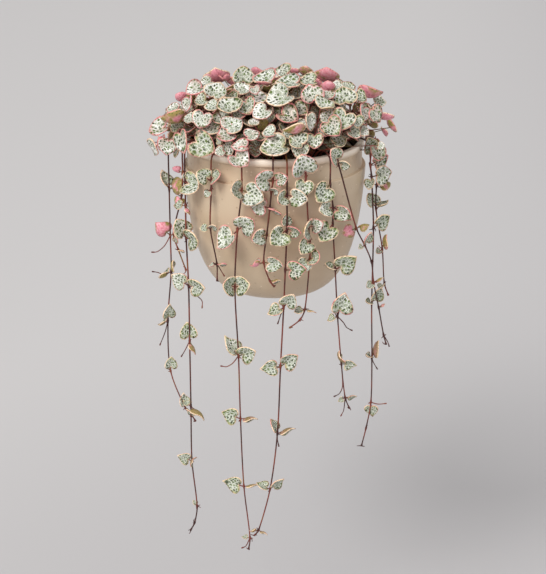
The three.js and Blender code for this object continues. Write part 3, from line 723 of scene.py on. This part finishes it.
def cells(place, scale, output=0, **settings):
    values = {"Vector": place, "Scale": scale}
    return place.node("ShaderNodeTexVoronoi", values, output, **settings)


def object_place(start):
    return start.node("ShaderNodeTexCoord", output="Object")


def bumped(height, strength, distance):
    values = {"Height": height, "Strength": strength, "Distance": distance}
    return height.node("ShaderNodeBump", values)


def finish(name, roughness, pattern):
    """A material. Its pattern gives the ground's colour, the layers over it and the bump."""
    material = bpy.data.materials.new(name)
    material.use_nodes = True
    tree = material.node_tree
    shader = tree.nodes["Principled BSDF"].inputs
    shader["Roughness"].default_value = roughness
    colour, layers, bump = pattern(Shade(tree))
    for above, mask in layers:
        colour = paint(colour, above, mask)
    tree.links.new(colour.socket, shader["Base Color"])
    if bump:
        tree.links.new(bump.socket, shader["Normal"])
    return material


# ---- Finishes ----

SPOT_SCALE = 7.0
FLECK_SCALE = 19.0
LEAF_APART = 23.0


def blade_pattern(start):
    """What both sides of a leaf share: its own numbers, its rim, places on it, the spots' cells."""
    flat = start.node("ShaderNodeUVMap", uv_map="blade")
    mark = start.node("ShaderNodeAttribute", output="Vector", attribute_name="leaf")
    rim = start.node("ShaderNodeAttribute", output="Fac", attribute_name="rim")
    across = flat.part(0) - 0.5
    along = flat.part(1) - 0.46
    angle = across.maths("ARCTAN2", along)
    reach = (across * across + along * along).maths("SQRT")
    place = flat.shift(mark, LEAF_APART)
    stretched = start.node("ShaderNodeCombineXYZ", {0: across * 1.05, 1: along * 0.85})
    wandering = stretched.shift(mark, LEAF_APART).shift(noise(place, 5.0, 2.0, "Color"), 0.09)
    return mark, rim, angle, reach, place, wandering


def leaf_cells(places, scale, output=0, **settings):
    return cells(places, scale, output, voronoi_dimensions="2D", **settings)


def main_veins(angle, reach, width):
    """Veins that fan out from the notch, thinner towards the rim."""
    aside = (angle * 4.3).maths("SINE").maths("ABSOLUTE") * reach
    return aside.fade(0.008, width) * reach.fade(0.25, 0.66)


def upper_leaf(start):
    """White with grey-green patches, a white net, dark green spots and a cream or pink rim; deep in
    the mound, painted shade of dark brown.
    """
    mark, rim, angle, reach, place, wandering = blade_pattern(start)
    # The third number is how green a leaf is, and above 1 how much painted shade it takes deep in
    # the mound.
    netted, pinker, green_and_shade = (mark.part(axis) for axis in range(3))
    broad = noise(place, 2.2, 1.0)
    kind = leaf_cells(wandering, SPOT_SCALE, "Color")
    border = leaf_cells(wandering, SPOT_SCALE, feature="DISTANCE_TO_EDGE")
    bigger = kind.part(0) * 0.16 + (1 - rim) * green_and_shade * 0.16 + green_and_shade * 0.05
    from_spot = leaf_cells(wandering, SPOT_SCALE) - bigger
    fleck_kind = leaf_cells(wandering, FLECK_SCALE, "Color")
    from_fleck = leaf_cells(wandering, FLECK_SCALE) - fleck_kind.part(0) * 0.2
    veins = main_veins(angle, reach, 0.04)
    netting = netted.ramp(0.5, 0.62)
    grey = (broad * 1.1 + reach.fade(0.1, 0.6) * 0.5 + green_and_shade * 0.35 - 0.56).ramp(0.0, 0.4)
    wash = border.ramp(0.04, 0.14) * (kind.part(1) * 0.5 + netting).ramp(0.1, 0.6)
    lime = rim.fade(0.3, 1.0) * (broad + green_and_shade * 0.5 - 0.8).ramp(0.0, 0.12)
    blush = (broad + pinker * 0.45 - 0.6).ramp(0.2, 0.5) * rim.fade(0.3, 1.3)
    flecks = from_fleck.fade(0.12, 0.3) * fleck_kind.part(1).ramp(0.6, 0.7) * (1 - veins)
    spotted = (kind.part(2) + green_and_shade * 0.3).ramp(0.16, 0.36) * (1 - veins)
    edge = (rim + (broad - 0.5) * 0.8).fade(0.04, 0.32)
    washed = paint((166, 177, 158), (126, 142, 104), green_and_shade * kind.part(0))
    green = paint((58, 70, 40), (98, 118, 58), kind.part(1).ramp(0.3, 0.8))
    warm = paint((252, 222, 190), (240, 158, 156), (broad + pinker * 0.7).ramp(0.7, 0.98))
    layers = [
        (washed, wash * 0.9),
        ((252, 253, 250), border.fade(0.02, 0.09) * 0.75),
        ((132, 142, 118), veins * grey * (1 - netting) * 0.7),
        ((248, 249, 243), veins * netting),
        ((176, 176, 104), lime * 0.8),
        ((228, 150, 152), blush * 0.8),
        ((252, 252, 246), from_spot.fade(0.24, 0.42) * (1 - blush) * 0.3),
        ((84, 94, 62), flecks * 0.75),
        (green, from_spot.fade(0.1, 0.3) * spotted),
        (warm, edge),
        ((130, 60, 44), edge * flecks * 0.8),
        # Painted shade: leaves deep in the mound are darkened brown, as if in the mound's shade.
        ((80, 52, 30), (green_and_shade - 1).ramp(0.0, 1.0) * 0.7),
    ]
    quilt = border.ramp(0.0, 0.3) * 0.6 + (1 - veins) * 0.4
    return paint((253, 252, 246), (180, 184, 164), grey), layers, bumped(quilt, 0.4, 0.0004)


def under_leaf(start):
    """Pink with paler and darker mottles, or olive with dark spots; deep in the mound, painted
    shade of dark brown.
    """
    mark, rim, angle, reach, place, wandering = blade_pattern(start)
    mottle = noise(wandering, 9.0, 3.0)
    # The third number, above 1 for painted shade deep in the mound, also makes a leaf more olive.
    olive = noise(place, 1.8, 2.0) + mark.part(2) * 0.35 - mark.part(1) * 0.25 - rim * 0.1
    olive = olive.ramp(0.46, 0.68)
    spots = leaf_cells(wandering, 8.0).fade(0.12, 0.26) * (1 - rim * (1 - olive))
    layers = [
        ((246, 196, 204), mottle.ramp(0.48, 0.66) * 0.7 * (1 - olive * 0.7)),
        ((176, 84, 104), mottle.fade(0.34, 0.46) * 0.5 * (1 - olive)),
        ((84, 92, 42), spots * (0.35 + olive * 0.65) * 0.85),
        ((204, 116, 132), main_veins(angle, reach, 0.03) * 0.5 * (1 - olive)),
        ((146, 116, 90), (mark.part(0) - 0.9).ramp(0.0, 1.0) * 0.75),
        # Painted shade: leaves deep in the mound are darkened brown.
        ((70, 50, 30), (mark.part(2) - 1).ramp(0.0, 1.0) * 0.6),
    ]
    return paint((238, 154, 168), (158, 144, 76), olive), layers, bumped(mottle, 0.3, 0.0004)


def vine_skin(start):
    place = object_place(start)
    patches = noise(place, 60.0, 2.0)
    streak = noise(place, 900.0, 2.0)
    layers = [
        ((126, 104, 52), patches.ramp(0.62, 0.76) * 0.7),
        ((150, 80, 66), streak.ramp(0.55, 0.75) * 0.35),
    ]
    ground = paint((64, 30, 26), (132, 60, 46), patches.ramp(0.42, 0.66))
    return ground, layers, bumped(streak, 0.3, 0.0002)


def stalk_skin(start):
    patches = noise(object_place(start), 120.0, 2.0)
    return paint((116, 52, 46), (104, 94, 48), patches.ramp(0.45, 0.62)), [], None


def pot_plastic(start):
    """Sand-coloured plastic with a fine grain and dark and pale specks, its lip painted paler as a
    painted highlight.
    """
    place = object_place(start)
    fleck = cells(place, 330.0)
    kind = cells(place, 330.0, "Color").part(0)
    layers = [
        ((166, 140, 112), fleck.fade(0.1, 0.3) * kind.ramp(0.78, 0.8) * 0.55),
        ((238, 222, 200), fleck.fade(0.1, 0.25) * kind.fade(0.1, 0.12) * 0.7),
        # Painted highlight: the top few millimetres of the pot are painted paler, as if light
        # caught the lip.
        ((250, 240, 224), place.part(2).ramp(-0.005, -0.0015) * 0.85),
    ]
    ground = paint((208, 188, 162), (200, 178, 150), noise(place, 25.0, 3.0).ramp(0.35, 0.65))
    return ground, layers, bumped(noise(place, 1800.0, 2.0), 0.12, 0.0002)


def potting_mix(start):
    place = object_place(start)
    crumbs = noise(place, 420.0, 4.0)
    ground = paint((34, 24, 18), (82, 60, 44), crumbs.ramp(0.45, 0.7))
    return ground, [], bumped(crumbs - cells(place, 260.0), 0.9, 0.0015)


def bark_grit(start):
    grain = noise(object_place(start), 240.0, 3.0)
    ground = paint((52, 36, 26), (112, 84, 58), grain.ramp(0.4, 0.65))
    return ground, [], bumped(grain, 0.5, 0.0005)


def floor_paper(start):
    place = object_place(start)
    side, depth = place.part(0), place.part(1)
    # Painted light falloff: the floor is painted darker towards +X and towards the camera, as if
    # the light fell off there.
    painted_falloff = side * 0.5 - depth * 0.1 + depth.fade(0, 0.9) * 0.22 + 0.45
    return paint((210, 208, 209), (194, 192, 194), painted_falloff.ramp(0.3, 0.7)), [], None


# ---- Modelling ----

# The edge of half a leaf in leaf widths, from the notch at the origin, and how thick the rim is
# as a share of the middle.
LOBE_EDGE = [(0, 0), (0.09, -0.11), (0.26, -0.16), (0.43, -0.08)]
SIDE_EDGE = [(0.43, -0.08), (0.51, 0.05), (0.53, 0.2), (0.5, 0.36), (0.43, 0.5)]
TIP_EDGE = [(0, 0.79), (0.15, 0.74), (0.3, 0.64), (0.43, 0.5)]
RIM_SHARE = 0.62
COLUMNS = len(TIP_EDGE) - 1
ROWS = len(SIDE_EDGE) - 1
LEAF_MIDDLE = 0.3
STEM_STEP = 2.5


def new_object(name, data):
    made = bpy.data.objects.new(name, data)
    bpy.context.collection.objects.link(made)
    return made


def select_only(*objects):
    bpy.ops.object.select_all(action="DESELECT")
    for chosen in objects:
        chosen.select_set(True)
    bpy.context.view_layer.objects.active = objects[0]


def join(name, objects):
    select_only(*objects)
    bpy.ops.object.join()
    objects[0].name = name
    objects[0].data.name = name
    return objects[0]


def heart_place(column, row):
    """Where a corner of the blank goes: column 0 is the midrib, row 0 the lobes' edge."""
    share = row / ROWS
    low, high = np.array(LOBE_EDGE[column]), np.array(TIP_EDGE[column])
    straight = low + (high - low) * share
    low, high = np.array(LOBE_EDGE[COLUMNS]), np.array(TIP_EDGE[COLUMNS])
    outer = low + (high - low) * share
    return straight + (np.array(SIDE_EDGE[row]) - outer) * column / COLUMNS


def heart_blank(finishes):
    """A leaf blade 1 wide, its notch at the origin, lifted by 1 and -1 and thinner at the rim."""
    bpy.ops.mesh.primitive_grid_add(x_subdivisions=2 * COLUMNS, y_subdivisions=ROWS, size=2)
    blank = bpy.context.object
    mesh = blank.data
    rim = mesh.attributes.new("rim", "FLOAT", "POINT")
    mesh.attributes.new("leaf", "FLOAT_VECTOR", "POINT")
    for vertex in mesh.vertices:
        column = round(abs(vertex.co.x) * COLUMNS)
        row = round((vertex.co.y + 1) * ROWS / 2)
        x, y = heart_place(column, row)
        vertex.co = (math.copysign(x, vertex.co.x), y, 0)
        rim.data[vertex.index].value = float(column < COLUMNS and 0 < row < ROWS)
    layer = mesh.uv_layers[0]
    layer.name = "blade"
    for loop in mesh.loops:
        x, y, _ = mesh.vertices[loop.vertex_index].co
        layer.data[loop.index].uv = (x + 0.5, y + 0.5)
    for side in finishes:
        mesh.materials.append(side)
    mesh.shade_smooth()
    body = blank.modifiers.new("body", "SOLIDIFY")
    body.thickness = 2
    body.offset = 0
    body.material_offset = 1
    bpy.ops.object.modifier_apply(modifier="body")
    nearness = blank.data.attributes["rim"].data
    for vertex in blank.data.vertices:
        if nearness[vertex.index].value == 0:
            vertex.co.z *= RIM_SHARE
    return blank


def sunk(leaf):
    """How far down its hanging stem a leaf is: 0 in the mound and at the lip, 1 from 130 below."""
    return min(max(-leaf["foot"][2] / 120 - 0.08, 0), 1)


def shaped_blade(flat, leaf, draw):
    """The blank's corners on one leaf: cupped, a little folded, wavy, its tip drooping."""
    x, y, lift = flat.T
    width = leaf["width"]
    low = sunk(leaf)
    taper = draw(0, 0.16) + low * draw(0.2, 0.5)
    point = draw(0, 0.08) + 0.1 * low
    long = draw(0.86, 1.05)
    fold = draw(-0.02, 0.12)
    wave = draw(0, 0.035)
    turn = draw(0, 6)
    dish = leaf["cup"] * (draw(1.8, 4.2) * (1 + 0.7 * max(float(leaf["face"][2]), 0)))
    x = x * (1 - taper * np.maximum(y, 0) ** 1.5)
    y = (y + point * np.maximum(y / 0.78, 0) ** 12) * long
    ahead = y - LEAF_MIDDLE
    rise = dish * (x * x + 0.7 * ahead**2) + fold * np.abs(x) * (1 - np.abs(x))
    ripple = wave * np.sin(3 * np.arctan2(ahead, x) + turn) * np.hypot(x, ahead) * 2
    rise += ripple - 0.07 * y * np.abs(y)
    rise -= dish * 0.063
    return on_leaf(leaf, x, y, rise * width + lift * (0.24 + 0.03 * width))


def leaf_mark(leaf, draw):
    """How netted, pink and green a leaf is: greener low on a stem. Deep in the mound the third
    number goes above 1, for painted shade.
    """
    low = sunk(leaf)
    depth = 1 - np.linalg.norm((leaf["base"] - MOUND_FOOT) / MOUND_SIZE)
    # Painted shade: the deeper a leaf sits in the mound, the more its finishes darken it.
    painted_shade = 0 if low else min(max(depth * 3.2 - 0.3, 0), 1)
    green = draw(0.25, 1) * (1 - 0.5 * low) + 0.5 * low if low else draw(0, 1)
    # A leaf in painted shade takes a third number from 1.2 to 2 in place of its green.
    if painted_shade > 0:
        green = 1.2 + 0.8 * painted_shade
    return [draw(0, 1) + low, draw(0, 1) * (1 - 0.5 * low), green]


def cut_leaf(blank, flat, leaf, draw):
    blade = new_object("leaf", blank.data.copy())
    corners = shaped_blade(flat, leaf, draw) * MM
    blade.data.vertices.foreach_set("co", corners.ravel())
    marks = leaf_mark(leaf, draw) * len(flat)
    blade.data.attributes["leaf"].data.foreach_set("vector", marks)
    return blade


def smooth_path(points, step):
    """Points every step or so along a smooth curve through the given ones."""
    points = [np.array(point, float) for point in points]
    ends = [2 * points[0] - points[1], *points, 2 * points[-1] - points[-2]]
    path = []
    for a, b, c, d in zip(ends, ends[1:], ends[2:], ends[3:]):
        before, length, after = (np.linalg.norm(run) for run in (b - a, c - b, d - c))
        pull_b = (c - a) * length / (length + before) * 0.9
        pull_c = (d - b) * length / (after + length) * 0.9
        count = max(2, round(length / step))
        for t in np.arange(count) / count:
            path.append(
                b * (2 * t**3 - 3 * t**2 + 1)
                + c * (3 * t**2 - 2 * t**3)
                + pull_b * (t**3 - 2 * t**2 + t)
                + pull_c * (t**3 - t**2)
            )
    return np.array([*path, points[-1]])


def tubes(name, strands, skin):
    """Round stems along the given strands, each as (points, radii)."""
    curve = bpy.data.curves.new(name, "CURVE")
    curve.dimensions = "3D"
    curve.bevel_depth = MM
    curve.bevel_resolution = 1
    curve.use_fill_caps = True
    for points, radii in strands:
        spline = curve.splines.new("POLY")
        spline.points.add(len(points) - 1)
        places = np.column_stack([points * MM, np.ones(len(points))])
        spline.points.foreach_set("co", places.ravel())
        spline.points.foreach_set("radius", np.asarray(radii, float))
    curve.materials.append(skin)
    grown = new_object(name, curve)
    select_only(grown)
    bpy.ops.object.convert(target="MESH")
    grown.data.shade_smooth()
    return grown


def stalk(leaf, draw):
    """The stalk from its foot to the notch, ending under the blade."""
    foot, base = leaf["foot"], leaf["base"]
    span = np.linalg.norm(base - foot)
    sag = vec(draw(-1, 1), draw(-1, 1), draw(-1, 0.4)) * min(0.05 * span, 0.5)
    middle = foot + (base - foot) * 0.5 + sag
    end = base + leaf["tip"] * 0.05 * leaf["width"] - leaf["face"] * 0.12
    path = smooth_path([foot, middle, base - leaf["face"] * 0.1, end], STEM_STEP)
    radius = 0.2 + 0.012 * leaf["width"]
    return path, np.linspace(radius * 1.35, radius * 0.9, len(path))


def swollen(path, joints, thick, thin):
    """Radii along a stem that tapers and swells at its joints."""
    radii = np.linspace(thick, thin, len(path))
    for joint in joints:
        away = np.linalg.norm(path - joint, axis=1)
        radii += 0.38 * np.exp(-((away / 1.5) ** 2))
    return radii


def buds(joint, draw):
    """Short curled shoots at a joint."""
    strands = []
    for _ in range(2):
        out = unit(vec(draw(-1, 1), draw(-1, 1), draw(-0.8, 0.8)))
        side = unit(np.cross(out, vec(draw(-1, 1), draw(-1, 1), 1)))
        reach = draw(1.4, 3.2)
        end = joint + out * reach + side * reach * 0.4
        path = smooth_path([joint, joint + out * reach * 0.6, end], 0.8)
        strands.append((path, np.linspace(0.42, 0.22, len(path))))
    return strands


def side_shoots(stem):
    """The fine shoots of one hanging stem, each with a small knob at its end."""
    strands = []
    for letter, joint, *route in SIDE_SHOOTS:
        if stem["name"][-1] != letter:
            continue
        start = stem["joints"][joint][0]
        points = [start] + [vec(x, start[1] - 1 - k, z) for k, (x, z) in enumerate(route)]
        path = smooth_path(points, 1.2)
        radii = np.linspace(0.4, 0.28, len(path))
        radii[-2:] += 0.2
        strands.append((path, radii))
    return strands


def dress(stem, blank, flat, skins, draw):
    """One hanging stem or tuft with all its leaves, as one piece."""
    vine, stalks = skins
    joints = [joint for joint, _ in stem["joints"]]
    path = smooth_path(stem["path"], STEM_STEP)
    thick, thin = (0.6, 0.46) if joints else (0.75, 0.55)
    strands = [(path, swollen(path, joints, thick, thin))]
    for joint in joints:
        strands += buds(joint, draw)
    strands += side_shoots(stem)
    parts = [cut_leaf(blank, flat, leaf, draw) for leaf in stem["leaves"]]
    parts.append(tubes("vine", strands, vine))
    parts.append(tubes("stalks", [stalk(leaf, draw) for leaf in stem["leaves"]], stalks))
    name = stem["name"].replace("hanging_stem", "trailing_hearts")
    piece = join(name.replace("tuft", "mound_hearts"), parts)
    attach(piece, "root")
    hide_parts(stem["name"])


def grow_plant():
    room, hanging, standing = lay_out()
    crowd(room, standing)
    draw = random_source(DRESS_SEED)
    skins = finish("vine_skin", 0.5, vine_skin), finish("leaf_stalk_skin", 0.5, stalk_skin)
    upper = finish("leaf_upper_side", 0.42, upper_leaf)
    blank = heart_blank([upper, finish("leaf_underside", 0.5, under_leaf)])
    flat = np.array([vertex.co for vertex in blank.data.vertices])
    for stem in hanging + standing:
        dress(stem, blank, flat, skins, draw)
    bpy.data.objects.remove(blank)


# ---- Pot and potting mix ----

WALL = 2.4
FOOT_RADIUS = 32.5
NECK_RADIUS = 59.4
POT_SIDES = 96
GRIT_RADIUS = 53
CHIPS = 260

# The shoulder over the bowl and the lip over the neck, as radii and heights.
SHOULDER = [
    (61.65, -17.75), (61.4, -17.45), (61, -17.3), (59.8, -17.3), (59.5, -17.1), (59.37, -16.6),
]
LIP = [
    (59.05, -5.3), (59.2, -4.85), (59.6, -4.6), (60.1, -4.6), (60.45, -4.4), (60.6, -4),
    (60.6, -0.9), (60.45, -0.35), (60, -0.05), (57.3, -0.05), (56.8, -0.3), (56.6, -0.8),
    (56.6, -5),
]


def bowl(share, inset):
    """A point of the bowl's wall, from its foot at 0 up to the shoulder at 1."""
    rim = SHOULDER_RADIUS if inset == 0 else NECK_RADIUS - inset
    corners = np.array(
        [
            [FOOT_RADIUS - inset / 2, -POT_HEIGHT + inset],
            [51 - inset, -POT_HEIGHT + 7 + inset],
            [59.3 - inset, BELLY_HEIGHT],
            [rim, -18],
        ]
    )
    rest = 1 - share
    weights = [rest**3, 3 * rest**2 * share, 3 * rest * share**2, share**3]
    return tuple(np.array(weights) @ corners)


def pot_profile():
    base = [(0, -POT_HEIGHT), (30, -POT_HEIGHT)]
    outside = [bowl(k / 18, 0) for k in range(19)]
    inside = [bowl(k / 10, WALL) for k in range(10, -1, -1)]
    return base + outside + SHOULDER + LIP + inside + [(0, -POT_HEIGHT + WALL)]


def turned(name, profile, sides):
    """A closed shape spun from its profile about the pot's axis."""
    bpy.ops.mesh.primitive_plane_add(size=1)
    shape = bpy.context.object
    bpy.ops.object.mode_set(mode="EDIT")
    bpy.ops.mesh.delete(type="VERT")
    bpy.ops.object.mode_set(mode="OBJECT")
    mesh = shape.data
    mesh.vertices.add(len(profile))
    for vertex, (radius, height) in zip(mesh.vertices, profile):
        vertex.co = (radius * MM, 0, height * MM)
    mesh.edges.add(len(profile) - 1)
    for k, edge in enumerate(mesh.edges):
        edge.vertices = (k, k + 1)
    mesh.update()
    bpy.ops.object.mode_set(mode="EDIT")
    bpy.ops.mesh.select_all(action="SELECT")
    bpy.ops.mesh.spin(steps=sides, angle=2 * math.pi, center=(0, 0, 0), axis=(0, 0, 1))
    bpy.ops.mesh.select_all(action="SELECT")
    bpy.ops.mesh.remove_doubles(threshold=1e-6)
    bpy.ops.mesh.normals_make_consistent(inside=False)
    bpy.ops.object.mode_set(mode="OBJECT")
    bpy.ops.object.shade_smooth_by_angle(angle=math.radians(38))
    shape.name = name
    return shape


def make_pot():
    pot = turned("sand_pot", pot_profile(), POT_SIDES)
    pot.data.materials.append(finish("sand_plastic", 0.45, pot_plastic))
    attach(pot, "root")
    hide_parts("pot")


def make_grit():
    """Loose bark chips over the potting mix."""
    draw = random_source(GRIT_SEED)
    chips = []
    for _ in range(CHIPS):
        radius = GRIT_RADIUS * math.sqrt(draw(0, 1))
        azimuth = draw(0, 2 * math.pi)
        size = draw(0.8, 2.2)
        bpy.ops.mesh.primitive_ico_sphere_add(subdivisions=1, radius=MM)
        chip = bpy.context.object
        scale = size * vec(draw(0.8, 1.8), draw(0.6, 1.2), draw(0.35, 0.7))
        turn, tilt = draw(0, 6.28), draw(-0.5, 0.5)
        place = polar(radius, azimuth, SOIL_CROWN + 0.2 - radius * 0.01)
        corners = np.array([vertex.co for vertex in chip.data.vertices]) * scale
        corners *= 1 + 0.25 * np.sin(corners * 4000 + turn)
        x, y, z = corners.T
        y, z = y * math.cos(tilt) - z * math.sin(tilt), y * math.sin(tilt) + z * math.cos(tilt)
        x, y = x * math.cos(turn) - y * math.sin(turn), x * math.sin(turn) + y * math.cos(turn)
        corners = np.column_stack([x, y, z]) + place * MM
        chip.data.vertices.foreach_set("co", corners.ravel())
        chips.append(chip)
    grit = join("bark_grit", chips)
    grit.data.materials.append(finish("bark_chips", 0.9, bark_grit))
    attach(grit, "root")


def finish_soil():
    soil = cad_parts["soil"]
    soil.data.materials.clear()
    soil.data.materials.append(finish("moist_potting_mix", 0.95, potting_mix))


# ---- Room, light and camera ----

LENS = 98.9
AIM = (0, 0, -0.1)


def lay_floor():
    bpy.ops.mesh.primitive_plane_add(size=24, location=(0, 0, -0.4))
    floor = bpy.context.object
    floor.name = "pale_floor"
    floor.data.materials.append(finish("pale_grey_paper", 0.9, floor_paper))


def soft_light(name, location, size, power, colour):
    """A square lamp turned to the plant."""
    data = bpy.data.lights.new(name, "AREA")
    data.size = size
    data.energy = power
    data.color = colour
    lamp = new_object(name, data)
    lamp.location = location
    way = np.array(AIM) - np.array(location)
    level = math.hypot(way[0], way[1])
    lamp.rotation_euler = (math.atan2(level, -way[2]), 0, math.atan2(way[1], way[0]) - math.pi / 2)


def light_and_camera():
    world = bpy.context.scene.world or bpy.data.worlds.new("studio")
    bpy.context.scene.world = world
    world.use_nodes = True
    background = world.node_tree.nodes["Background"].inputs
    background["Color"].default_value = (1, 1, 1, 1)
    background["Strength"].default_value = 0.32
    sun = new_object("key", bpy.data.lights.new("key", "SUN"))
    sun.data.energy = 2.4
    sun.data.angle = math.radians(28)
    sun.data.color = (1, 0.985, 0.96)
    sun.rotation_euler = (math.radians(46), 0, math.radians(-34))
    soft_light("fill", (3.7, 0.3, 1.4), 2.2, 35, (1, 1, 1))
    soft_light("front", (-0.6, -3.7, 1.3), 2.0, 30, (1, 0.97, 0.92))
    camera = new_object("camera", bpy.data.cameras.new("camera"))
    camera.data.lens = LENS
    camera.location = EYE * MM
    camera.rotation_euler = (math.pi / 2 - EYE_DROP, 0, 0)
    bpy.context.scene.camera = camera
    bpy.context.scene.view_settings.view_transform = "Standard"


make_pot()
finish_soil()
make_grit()
grow_plant()
lay_floor()
light_and_camera()
